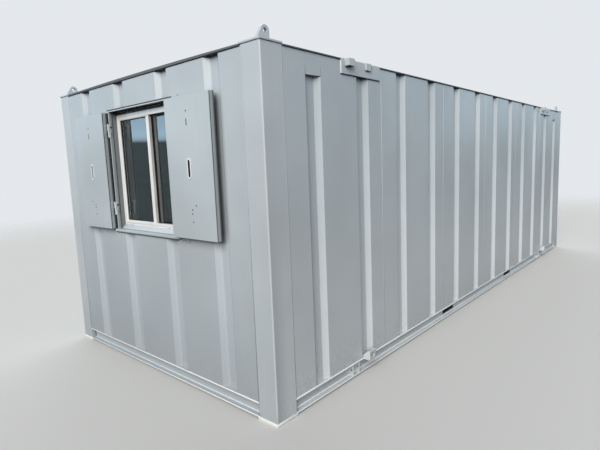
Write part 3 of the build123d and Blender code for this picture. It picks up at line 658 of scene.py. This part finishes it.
bpy.ops.transform.resize(value=(2 * lap_half, 1, 2 * lap_rise), center_override=lap_start)
crown_middle = (lap_places[0], 0, roof_top - crown_radius)
bpy.ops.mesh.spin(steps=16, angle=2 * arc, center=crown_middle, axis=(1, 0, 0), dupli=False)
bpy.ops.mesh.select_all(action="SELECT")
bpy.ops.mesh.remove_doubles(threshold=0.00001)
bpy.ops.mesh.normals_make_consistent(inside=False)
bpy.ops.object.mode_set(mode="OBJECT")
laps = [finish_edges(0.0008)]
for lap_x in lap_places[1:]:
    laps.append(copied(laps[0], Vector((lap_x - lap_places[0], 0, 0))))
fixed("roof_lap_seams", laps, roof_steel)

# Inside: white-faced boards on walls and ceiling, butted with narrow dark joints and
# darker grey towards the bottom.
lining_shades = (0.34, 0.335, 0.32, 1), (0.40, 0.395, 0.38, 1)
lower_lining_tone = (0.13, 0.125, 0.115, 1)
joint_shade = (0.10, 0.10, 0.095, 1)
board_width = 1.22
lining_board, tree, shader, place = new_finish("lining_board")
mottle = noise(tree, place, 12.0, 4.0)
spot = axes(tree, place)
tone = tint(tree, *lining_shades, share(tree, mottle, 0.35, 0.65))
tone = tint(tree, tone, lower_lining_tone, share(tree, spot["Z"], 1.55, 1.05, 0.60))
to_joint = maths(tree, "PINGPONG", spot["X"], board_width / 2)
tone = tint(tree, tone, joint_shade, share(tree, to_joint, 0.0035, 0.0020))
dress(tree, shader, tone, 0.5, bumped(tree, mottle, 0.1, 0.001))
linings = ("front_lining", "back_lining", "plain_end_lining", "window_end_lining", "ceiling")
finish_nodes(linings, lining_board)

# Window opening: a steel surround welded through the end wall with a flush lip, a folded
# sill tray under it, and inside it a sloping strip that sheds water off the frame's foot.
# Surround and sill are painted lighter than the walls, a painted light from the sky; the
# reveal darkens inward as painted shade, and the tray's lower edge is a painted shadow.
# Mastic fills the joints, its strip under the tray painted as the shadow beneath it, and
# black rubber seals hang under the head, standing for the shade there as well.
reveal_lit_colour = (0.56, 0.62, 0.66, 1)
deep_shade = (0.13, 0.14, 0.145, 1)
sill_lit_colour = (0.53, 0.605, 0.645, 1)
sill_foot_shadow = (0.09, 0.10, 0.105, 1)
rubber_shades = (0.008, 0.008, 0.009, 1), (0.026, 0.027, 0.029, 1)
reveal_right, reveal_left = -0.4365, 0.4665
reveal_foot, reveal_head = 1.170, 2.157
reveal_width = (reveal_right, reveal_left)
lip_width = (-0.4635, 0.4935)
frame_front = -3.5895
rebate_step = -3.6195
slope_out, slope_top = 0.030, 1.205
# Painted shade: the reveal's sides, head and floor darken inward from the lip.
reveal_paint = painted_steel(
    "reveal_paint",
    reveal_lit_colour,
    dust=0.1,
    edge_wear_and_highlight=0.30,
    edge=0.003,
    nook_shading=0.5,
    coats=(
        (deep_shade, 0.56, (("X", 3.6572, 3.6562), ("Z", 1.150, 1.190))),
        (deep_shade, 0.66, (("X", 3.6562, 3.6200), ("Z", 1.150, 1.190))),
    ),
)
# Painted shadow: the lowest few millimetres of the tray's front are painted dark.
sill_foot_shadow_coats = ((sill_foot_shadow, 0.8, (("Z", 1.1550, 1.1530),)),)
sill_paint = painted_steel(
    "sill_paint", sill_lit_colour, dust=0.1, edge_wear_and_highlight=0.35, edge=0.003, nook_shading=0.20, coats=sill_foot_shadow_coats
)
finish_nodes(("window_surround",), reveal_paint)
finish_nodes(("window_sill",), sill_paint)
seal_rubber = dull_finish(
    "seal_rubber", (40.0, 3.0), rubber_shades, (0.4, 0.75), (0.8, 0.0, 0.65), (0.15, 0.0008)
)
slope = new_block((frame_front - slope_out, frame_front), reveal_width, (reveal_foot, slope_top))
pick_faces(slope, lambda face: face.normal.x < -0.9)
bpy.ops.transform.resize(value=(1, 1, 0.08), center_override=(frame_front - slope_out, 0, reveal_foot))
bpy.ops.object.mode_set(mode="OBJECT")
fixed("sill_slope", [finish_edges(0.0012)], sill_paint)
joints_and_sill_shadow = [
    rounded_bar((-3.6325, -3.6255), proud(side, inward, 0.0016), (reveal_foot, reveal_head), 0.0005)
    for side, inward in ((reveal_right, 1), (reveal_left, -1))
]
# The lower strip, under the tray, is thickened to paint the shadow beneath the sill.
for out, level, edge in ((0.0012, (2.1660, 2.1745), 0.0005), (0.0030, (1.1395, 1.1475), 0.0008)):
    joints_and_sill_shadow.append(rounded_bar(proud(-half_length, -1, out, skin_sunk), lip_width, level, edge))
fixed("surround_seams_and_sill_shadow", joints_and_sill_shadow, mastic)
# Painted shade: black seals under the head stand for the shade of its underside.
head_shadow_seals = [
    rounded_bar((-half_length, rebate_step), reveal_width, (2.155, reveal_head), 0.0008),
    rounded_bar((rebate_step, frame_front), reveal_width, (2.145, reveal_head), 0.003),
    rounded_bar((-3.6010, frame_front), reveal_width, (2.133, 2.146), 0.003),
]
fixed("head_shadow_seal", head_shadow_seals, seal_rubber)

# Stay staple: a flat steel staple welded to the wall's face under the right leaf's corner,
# where a hook holds the leaf open.
stay_out = 0.010


def flat_ring(x, y, z, width, edge, facing=0):
    """A flat four-sided ring over three spans, facing along one axis, its edges rounded."""
    ring = new_block(x, y, z)
    pick_faces(ring, lambda face: abs(face.normal[facing]) > 0.9)
    bpy.ops.mesh.inset(thickness=width, use_individual=True)
    bpy.ops.mesh.bridge_edge_loops()
    return finish_edges(edge)


stay = flat_ring(proud(-half_length, -1, stay_out), (-0.572, -0.456), (1.138, 1.157), 0.006, 0.0015)
fixed("stay_staple", [stay], reveal_paint)

# Window frame: white coated extrusions, mitred at the corners, with a stepped bead round
# the lights, two caps over the drain slots, black rubber gaskets, and a dark-framed sash
# with a broad aluminium edge that slides behind an upright.
white_shades = (0.80, 0.80, 0.81, 1), (0.47, 0.47, 0.46, 1)
corner_shade = (0.16, 0.16, 0.16, 1)
set_back_shade = (0.36, 0.36, 0.33, 1)
sash_shades = (0.006, 0.006, 0.006, 1), (0.022, 0.021, 0.020, 1)
spacer_shades = (0.082, 0.088, 0.088, 1), (0.142, 0.142, 0.134, 1)
spacer_head_shadow = (0.035, 0.038, 0.042, 1)
light_right, light_left = -0.3885, 0.4185
light_foot, light_head = 1.238, 2.091
mullion_right, mullion_left = -0.030, 0.0
sash_right, sash_left = -0.3745, -0.069
sash_foot, sash_head = 1.252, 2.077
sash_rail_top = 2.0795
surround_step = 0.020
cap_places = (-0.21, 0.345)
glazing = 0.006
window_white, tree, shader, place = new_finish("window_white")
dirt = noise(tree, place, (14.0, 14.0, 3.0), 5.0)
tone = tint(tree, *white_shades, share(tree, dirt, 0.52, 0.80, 0.45))
# Painted shade: the white darkens in its inner corners and on faces set back from the front.
tone = tint(tree, tone, corner_shade, share(tree, openness(tree, 0.03), 0.62, 0.25, 0.7))
behind = share(tree, axes(tree, place)["X"], -3.5888, -3.5875)
tone = tint(tree, tone, set_back_shade, times(tree, behind, share(tree, dirt, 0.20, 0.60, 0.95)))
coating = bumped(tree, dirt, 0.06, 0.001, eased(tree, 0.003))
dress(tree, shader, tone, share(tree, dirt, 0.9, -0.6, 0.45), coating)
sash_dark = dull_finish(
    "sash_dark", ((30.0, 30.0, 6.0), 4.0), sash_shades, (0.45, 0.75), (1.1, -0.5, 0.6), (0.1, 0.001), 0.1
)
finish_nodes(("window_frame",), window_white)
finish_nodes(("window_sash",), sash_dark)
stepped_bead = flat_ring(
    proud(frame_front, -1, 0.005),
    (light_right - surround_step, light_left + surround_step),
    (light_foot - surround_step, light_head + surround_step),
    surround_step,
    0.0018,
)
caps = [
    rounded_bar(proud(frame_front, -1, 0.004), around(middle, 0.016), (1.2065, 1.2165), 0.0015)
    for middle in cap_places
]
fixed("window_frame_beads", [stepped_bead] + caps, window_white)
glazing_bead = flat_ring(
    (frame_front - 0.003, -3.5790), (mullion_left, light_left), (light_foot, light_head), glazing, 0.0015
)
fixed("fixed_light_bead", [glazing_bead], window_white)
pane_gasket = flat_ring(
    (-3.5840, -3.5785),
    (mullion_left + glazing, light_left - glazing),
    (light_foot + glazing, light_head - glazing),
    0.008,
    0.001,
)
sash_gasket = flat_ring((-3.5625, -3.5595), (sash_right, sash_left), (sash_foot, sash_head), 0.005, 0.001)
upright_pile = rounded_bar(
    (-3.5680, -3.5640), (mullion_right - 0.004, mullion_right), (light_foot, light_head), 0.001
)
head_pile = rounded_bar(
    (-3.5750, -3.5640), (light_right, mullion_right), (light_head - 0.006, light_head), 0.001
)
gaskets = [pane_gasket, sash_gasket, upright_pile, head_pile]
fixed("window_gaskets", gaskets, seal_rubber)
spacer_finish, tree, shader, place = new_finish("window_spacer")
scuff = noise(tree, place, (20.0, 20.0, 90.0), 3.0)
tone = tint(tree, *spacer_shades, share(tree, scuff, 0.35, 0.70))
# Painted shadow: the spacer darkens towards the head.
tone = tint(tree, tone, spacer_head_shadow, share(tree, axes(tree, place)["Z"], 1.85, 2.06, 0.70))
dress(tree, shader, tone, 0.45, bumped(tree, scuff, 0.1, 0.0005))
spacer_ring = flat_ring(
    (-3.5553, -3.5400),
    (sash_right - 0.004, sash_left + 0.004),
    (sash_foot - 0.004, sash_head + 0.004),
    0.020,
    0.002,
)
head_strip = rounded_bar((-3.5650, -3.5635), (light_right, -0.020), (sash_rail_top, 2.0845), 0.0006)
broad_edge = rounded_bar((-3.5655, -3.5600), (-0.091, -0.060), (sash_foot - 0.010, sash_rail_top), 0.0012)
fixed("sash_spacer", [spacer_ring, head_strip, broad_edge], spacer_finish)

# Window glass: two 4 mm panes bedded in the gaskets, clear with a faint grey tint, bright
# with the sky.
glass_tint = (0.34, 0.42, 0.44, 1)
glass, tree, shader, place = new_finish("window_glass")
shader.inputs["Base Color"].default_value = glass_tint
shader.inputs["Transmission Weight"].default_value = 1.0
shader.inputs["Roughness"].default_value = 0.0
shader.inputs["IOR"].default_value = 2.4
tree.links.new(bumped(tree, noise(tree, place, 2.2, 1.0), 0.01, 0.001), shader.inputs["Normal"])
finish_nodes(("window_glass",), glass)

# Shutters: each leaf is a folded steel body with a face sheet over a rebate, a dark seal
# in the rebate that also paints its shade, and a finger slot with a pressed rim, painted
# pale as a highlight, and a moulded liner, near-black in the right leaf to paint the shade
# of the slot's hollow. Behind the face sheet the body is painted darker as shade, and the
# rear of its edges near-black as the shadow between leaf and wall.
shutter_colour = (0.500, 0.560, 0.600, 1)
leaf_side_shade = (0.30, 0.335, 0.345, 1)
leaf_edge_shade = (0.055, 0.060, 0.065, 1)
rim_highlight = (0.86, 0.89, 0.90, 1)
rebate_shades = (0.050, 0.062, 0.066, 1), (0.10, 0.115, 0.120, 1)
liner_shades = (0.030, 0.033, 0.036, 1), (0.075, 0.080, 0.085, 1)
leaf_face = -3.7085
leaf_foot, leaf_head = 1.175, 2.151
seal_depth, seal_in = (-3.7034, -3.6966), 0.0045
slot_level, slot_half, slot_radius = 1.663, 0.060, 0.012
slot_play = 0.0002
not_leaf_back = ("X", 3.6647, 3.6652)
shutter_paint = painted_steel(
    "shutter_paint",
    shutter_colour,
    dust=0.3,
    shine=(0.30, 0.42),
    dents=0.25,
    edge_wear_and_highlight=0.25,
    edge=0.002,
    reach=0.05,
    coats=(
        # Painted shade on the body and the rear of the edges, painted highlight on the rim.
        (leaf_side_shade, 0.85, (("X", 3.7040, 3.7034), not_leaf_back)),
        (leaf_edge_shade, 0.85, (("X", 3.6760, 3.6740), not_leaf_back)),
        (rim_highlight, 0.85, (("X", 3.7087, 3.7092),)),
    ),
)
finish_nodes(("shutter_left", "shutter_right"), shutter_paint)
rebate_seal_and_shade = dull_finish("rebate_seal_and_shade", (45.0, 3.0), rebate_shades, (0.35, 0.70), 0.6, (0.2, 0.001))
# A near-black finish: on the right slot's liner it paints the shade of the slot's hollow.
slot_liner = dull_finish(
    "slot_liner", (80.0, 3.0), liner_shades, (0.35, 0.75), (0.8, 0.0, 0.55), (0.1, 0.0005)
)
leaves = (
    ("left_shutter", "left", 0.4905, 0.9925, 0.7415, -0.0030, shutter_paint),
    ("right_shutter", "right", -0.9415, -0.4395, -0.6905, 0.0036, slot_liner),
)
for body, hand, near, far, slot_middle, liner_out, liner_finish in leaves:
    seal_width = (near + seal_in, far - seal_in)
    seal = flat_ring(seal_depth, seal_width, (leaf_foot + seal_in, leaf_head - seal_in), 0.0015, 0.0004)
    fixed(f"shutter_{hand}_seal", [seal], rebate_seal_and_shade, body)
    liner = new_block(
        (leaf_face - liner_out, leaf_face + 0.0255),
        around(slot_middle, slot_radius - slot_play),
        around(slot_level, slot_half - slot_play),
    )
    bpy.ops.object.mode_set(mode="EDIT")
    bpy.ops.mesh.select_mode(type="EDGE")
    bpy.ops.mesh.select_all(action="DESELECT")
    bpy.ops.object.mode_set(mode="OBJECT")
    for edge in liner.data.edges:
        one, other = (liner.data.vertices[index].co for index in edge.vertices)
        edge.select = abs(one.x - other.x) > 0.01
    bpy.ops.object.mode_set(mode="EDIT")
    bpy.ops.mesh.bevel(offset=slot_radius - 0.0003, segments=8, affect="EDGES")
    bpy.ops.object.mode_set(mode="OBJECT")
    pick_faces(liner, lambda face: face.normal.x < -0.9)
    bpy.ops.mesh.inset(thickness=0.0010)
    bpy.ops.mesh.inset(thickness=0.0004, depth=-0.0200)
    bpy.ops.object.mode_set(mode="OBJECT")
    bpy.ops.object.shade_smooth_by_angle(angle=math.radians(40))
    fixed(f"shutter_{hand}_slot_liner", [liner], liner_finish, body)

# Shutter fixings: small plugged screw holes down each leaf's face, and a short dark strip
# that paints the shade of a groove where an inner stiffener's spot weld was ground.
plug_shades = (0.030, 0.034, 0.038, 1), (0.110, 0.120, 0.125, 1)
plug_radius, plug_rise = 0.0062, 0.0006
left_plugs = ((0.756, 2.044), (0.793, 1.404), (0.744, 1.377), (0.741, 1.353), (0.741, 1.293))
right_plugs = ((-0.688, 2.048), (-0.739, 1.410), (-0.694, 1.379), (-0.693, 1.352), (-0.697, 1.296))
groove_places = {"left": (0.759, 1.974), "right": (-0.687, 1.975)}
groove_half_width, groove_half_height = 0.0050, 0.022
fixing_dark = dull_finish("fixing_dark", (120.0, 3.0), plug_shades, (0.40, 0.70), 0.5, (0.1, 0.0005))
for hand, plug_places in (("left", left_plugs), ("right", right_plugs)):
    plug_points = [(leaf_face, y, z) for y, z in plug_places]
    fixings = fastener_heads(plug_points, (-1, 0, 0), plug_radius, plug_rise)
    groove_y, groove_z = groove_places[hand]
    fixings.append(
        rounded_bar(
            proud(leaf_face, -1, plug_rise, 0.001),
            around(groove_y, groove_half_width),
            around(groove_z, groove_half_height),
            0.0005,
        )
    )
    fixed(f"shutter_{hand}_fixings", fixings, fixing_dark, f"{hand}_shutter")

# Shutter hinges: lift-off hinges of plain steel. Their flaps are screwed flat to the
# reveal's side and to the left leaf's edge, and sprayed with them; the upper screw of each
# reveal flap has a broad washer head.
hinge_colour = (0.60, 0.63, 0.65, 1)
hinge_levels = (1.349, 2.004)
flap_half, flap_thick, flap_edge = 0.055, 0.0015, 0.0005
leaf_edge = 0.4905
screw_lift, screw_rise = 0.028, 0.0006
reveal_screw_x, washer_radius, screw_radius = -3.6470, 0.0095, 0.0045
far_screw_x, far_screw_y = -3.6480, -0.4335
leaf_screw_x, leaf_screw_radius = -3.6760, 0.0050
hinge_steel = painted_steel(
    "hinge_steel", hinge_colour, dust=0.2, shine=(0.30, 0.40), dents=0.0, edge_wear_and_highlight=0.7, edge=0.002, nook_shading=0.5
)
finish_nodes(("shutter_hinge_pins", "shutter_left_hinges", "shutter_right_hinges"), hinge_steel)
reveal_flap_face = proud(reveal_left, -1, flap_thick)
leaf_flap_face = proud(leaf_edge, -1, flap_thick)
reveal_flaps = []
leaf_flaps = []
for level in hinge_levels:
    flap = around(level, flap_half)
    reveal_flaps.append(rounded_bar((-half_length, -3.6375), reveal_flap_face, flap, flap_edge))
    leaf_flaps.append(rounded_bar((-3.6685, -3.6965), leaf_flap_face, flap, flap_edge))
lower_screws = [level - screw_lift for level in hinge_levels]
upper_screws = [level + screw_lift for level in hinge_levels]
reveal_screw_y = reveal_left - flap_thick
washers = [(reveal_screw_x, reveal_screw_y, z) for z in upper_screws]
screws = [(reveal_screw_x, reveal_screw_y, z) for z in lower_screws]
far_screws = [(far_screw_x, far_screw_y, level - 2 * screw_lift) for level in hinge_levels]
far_screws += [(far_screw_x, far_screw_y, level) for level in hinge_levels]
leaf_screws = [(leaf_screw_x, leaf_edge - flap_thick, z) for z in lower_screws + upper_screws]
reveal_heads = fastener_heads(washers, (0, -1, 0), washer_radius, screw_rise)
reveal_heads += fastener_heads(screws, (0, -1, 0), screw_radius, screw_rise)
reveal_heads += fastener_heads(far_screws, (0, 1, 0), screw_radius, screw_rise)
leaf_heads = fastener_heads(leaf_screws, (0, -1, 0), leaf_screw_radius, screw_rise)
fixed("reveal_hinge_flaps", reveal_flaps, reveal_paint)
fixed("reveal_hinge_screws", reveal_heads, slot_liner)
fixed("leaf_hinge_flaps", leaf_flaps, shutter_paint, "left_shutter")
fixed("leaf_hinge_screws", leaf_heads, fixing_dark, "left_shutter")

# Shutter rest: a strip of black rubber on the surround's lip behind the left leaf's edge,
# cut away at the hinges; its black paints the shadow between the leaf and the wall.
rest_width = (0.4745, lip_width[1])
rest_lengths = ((1.175, 1.292), (1.406, 1.947), (2.061, 2.151))
strips = [rounded_bar(proud(-half_length, -1, 0.0065), rest_width, run, 0.0008) for run in rest_lengths]
fixed("shutter_rest_shadow_strips", strips, seal_rubber)

# Jacking-leg brackets, gussets and lugs: 12 mm plate, folded sockets and blocks, all
# fillet-welded to the eaves and to the base rail, their edges pale, partly worn paint and
# partly a painted highlight, with near-white beads at the brackets' ends as a painted
# highlight. A dark mastic strip under each bracket paints the shadow of its underside, and
# a plug fills its spare hole.
plate_colour = (0.500, 0.555, 0.590, 1)
bracket_ribs = (-2.6055, 2.6055)
bracket_middle, bracket_half = -0.020, 0.2525
bracket_foot, bracket_head = 2.282, 2.386
plate_out = 0.012
block_bead = 0.005
socket_at, socket_half, socket_foot = -0.1985, 0.036, 2.335
stop_at, stop_half, stop_foot = 0.0545, 0.033, 2.334
blocks = ((socket_at, socket_half, socket_foot), (stop_at, stop_half, stop_foot))
gusset_places, gusset_half = (-0.2025, -0.1205), 0.004
gusset_foot = (rail_hollow[0], rail_hollow[0] + bead)
lug_at, lug_plate_half = -0.0195, 0.043
lug_foot = (rail_top, rail_top + bead)
plug_at, plug_level = 0.1125, 2.360
plate_paint = painted_steel("plate_paint", plate_colour, dust=0.2, edge_wear_and_highlight=0.9, nook_shading=0.50)
finish_nodes([name for name in nodes if name.startswith("leg_")], plate_paint)
leg_beads = []
end_beads = []
foot_shadow_strips = []
hole_plugs = []
for across in (-1, 1):
    face = across * half_width
    plate = face + across * plate_out
    web = across * (half_width - rail_in)
    on_plate = proud(plate, across, block_bead)
    for rib in bracket_ribs:
        start, stop = around(rib + bracket_middle, bracket_half)
        for end in (start, stop):
            end_skin = proud(face, across, block_bead)
            end_beads.append(rounded_bar(around(end, bead), end_skin, (bracket_foot, roof_bottom), 0.002))
        # Painted shadow: a dark band along each bracket's foot.
        gap = (bracket_foot - 0.006, bracket_foot + 0.001)
        for run in ((start, rib - cover_half), (rib + cover_half, stop)):
            foot_shadow_strips.append(rounded_bar(run, proud(face, across, 0.0015), gap, 0.0005))
        for middle, half, foot in blocks:
            for edge in around(rib + middle, half):
                leg_beads.append(rounded_bar(around(edge, bead), on_plate, (foot, bracket_head), 0.002))
        stop_run = around(rib + stop_at, stop_half)
        leg_beads.append(rounded_bar(stop_run, on_plate, around(stop_foot, bead), 0.002))
        for gusset in gusset_places:
            for edge in around(rib + gusset, gusset_half):
                seam = around(edge, 0.003)
                leg_beads.append(rounded_bar(seam, proud(web, across, bead), rail_hollow, 0.0015))
                leg_beads.append(rounded_bar(seam, (web, face - across * bead), gusset_foot, 0.0015))
        for edge in around(rib + lug_at, lug_plate_half):
            lug_seam = proud(face, across, 0.0, 0.010)
            leg_beads.append(rounded_bar(around(edge, 0.003), lug_seam, lug_foot, 0.0015))
    spare_holes = [(rib + plug_at, plate, plug_level) for rib in bracket_ribs]
    hole_plugs += fastener_heads(spare_holes, (0, across, 0), 0.008, 0.0008, 1.0)
fixed("leg_weld_beads", leg_beads, bead_highlight_paint)
fixed("bracket_end_beads", end_beads, highlight_paint)
fixed("bracket_foot_shadows", foot_shadow_strips, mastic)
fixed("bracket_hole_plugs", hole_plugs, fixing_dark)

# Door frame: a steel ring through the back wall with a folded drip rail welded over its
# head, a flat steel-faced leaf, and a black gasket in the gap between them.
door_width, door_height = (1.0175, 1.8775), (0.137, 2.122)
drip_width = (door_width[0] - 0.075, door_width[1] + 0.075)
drip_foot, drip_top, drip_out = door_head_top + 0.004, door_head_top + 0.026, 0.024
finish_nodes(("door_frame", "door"), cabin_paint)
drip_rail = new_block(drip_width, proud(half_width, 1, drip_out), (drip_foot, drip_top))
pick_faces(drip_rail, lambda face: face.normal.y > 0.9)
bpy.ops.transform.resize(value=(1, 1, 0.2), center_override=(0, half_width, drip_foot))
bpy.ops.object.mode_set(mode="OBJECT")
fixed("door_drip_rail", [finish_edges(0.001)], bead_highlight_paint)
door_gasket = flat_ring(door_width, (1.352, 1.3595), door_height, 0.003, 0.0007, facing=1)
fixed("door_gasket", [door_gasket], seal_rubber)

# Door hinges: three steel barrels on straps, each strap fillet-welded to the leaf's face
# along its head, its foot and its inner end.
door_hinge_levels = (0.357, 1.1295, 1.902)
strap_half = 0.045
strap_low, strap_high = 1.8345, 1.8745
door_face = 1.3615
strap_skin = proud(door_face, 1, bead)
finish_nodes(("door_hinges",), hinge_steel)
lowest = door_hinge_levels[0]
strap_beads = [
    rounded_bar((strap_low, strap_high), strap_skin, around(edge, 0.003), 0.0015)
    for edge in around(lowest, strap_half)
]
strap_end = around(strap_low, 0.003)
strap_beads.append(rounded_bar(strap_end, strap_skin, around(lowest, strap_half), 0.0015))
hinge_beads = list(strap_beads)
for level in door_hinge_levels[1:]:
    hinge_beads += [copied(strap_bead, Vector((0, 0, level - lowest))) for strap_bead in strap_beads]
fixed("door_hinge_beads", hinge_beads, bead_highlight_paint)

# Door handle: a brushed steel lever on a long plate that two screws hold to the leaf, with
# a keyhole under the lever.
brushed_shades = (0.42, 0.43, 0.44, 1), (0.60, 0.61, 0.62, 1)
handle_x, handle_z = 1.0805, 1.137
plate_face = 1.3655
plate_screw_lift = 0.088
key_level, key_foot = handle_z - 0.052, handle_z - 0.068
handle_metal, tree, shader, place = new_finish("handle_metal")
brushing = noise(tree, place, (60.0, 60.0, 900.0), 2.0)
tone = tint(tree, *brushed_shades, share(tree, brushing, 0.35, 0.65))
brushed = bumped(tree, brushing, 0.08, 0.0004, eased(tree, 0.0015))
dress(tree, shader, tone, share(tree, brushing, 1.2, -0.4, 0.5), brushed)
shader.inputs["Metallic"].default_value = 1.0
finish_nodes(("door_handle",), handle_metal)
screw_places = [(handle_x, plate_face, z) for z in around(handle_z, plate_screw_lift)]
plate_screws = fastener_heads(screw_places, (0, 1, 0), 0.0045, 0.0012)
fixed("door_plate_screws", plate_screws, handle_metal)
# The keyhole is a near-black raised disc and slot that paint the shade of the hole.
keyhole = fastener_heads([(handle_x, plate_face, key_level)], (0, 1, 0), 0.0055, 0.0006, 1.0)
key_skin = proud(plate_face, 1, 0.0006)
keyhole.append(rounded_bar(around(handle_x, 0.0022), key_skin, (key_foot, key_level), 0.0003))
fixed("door_keyhole", keyhole, slot_liner)
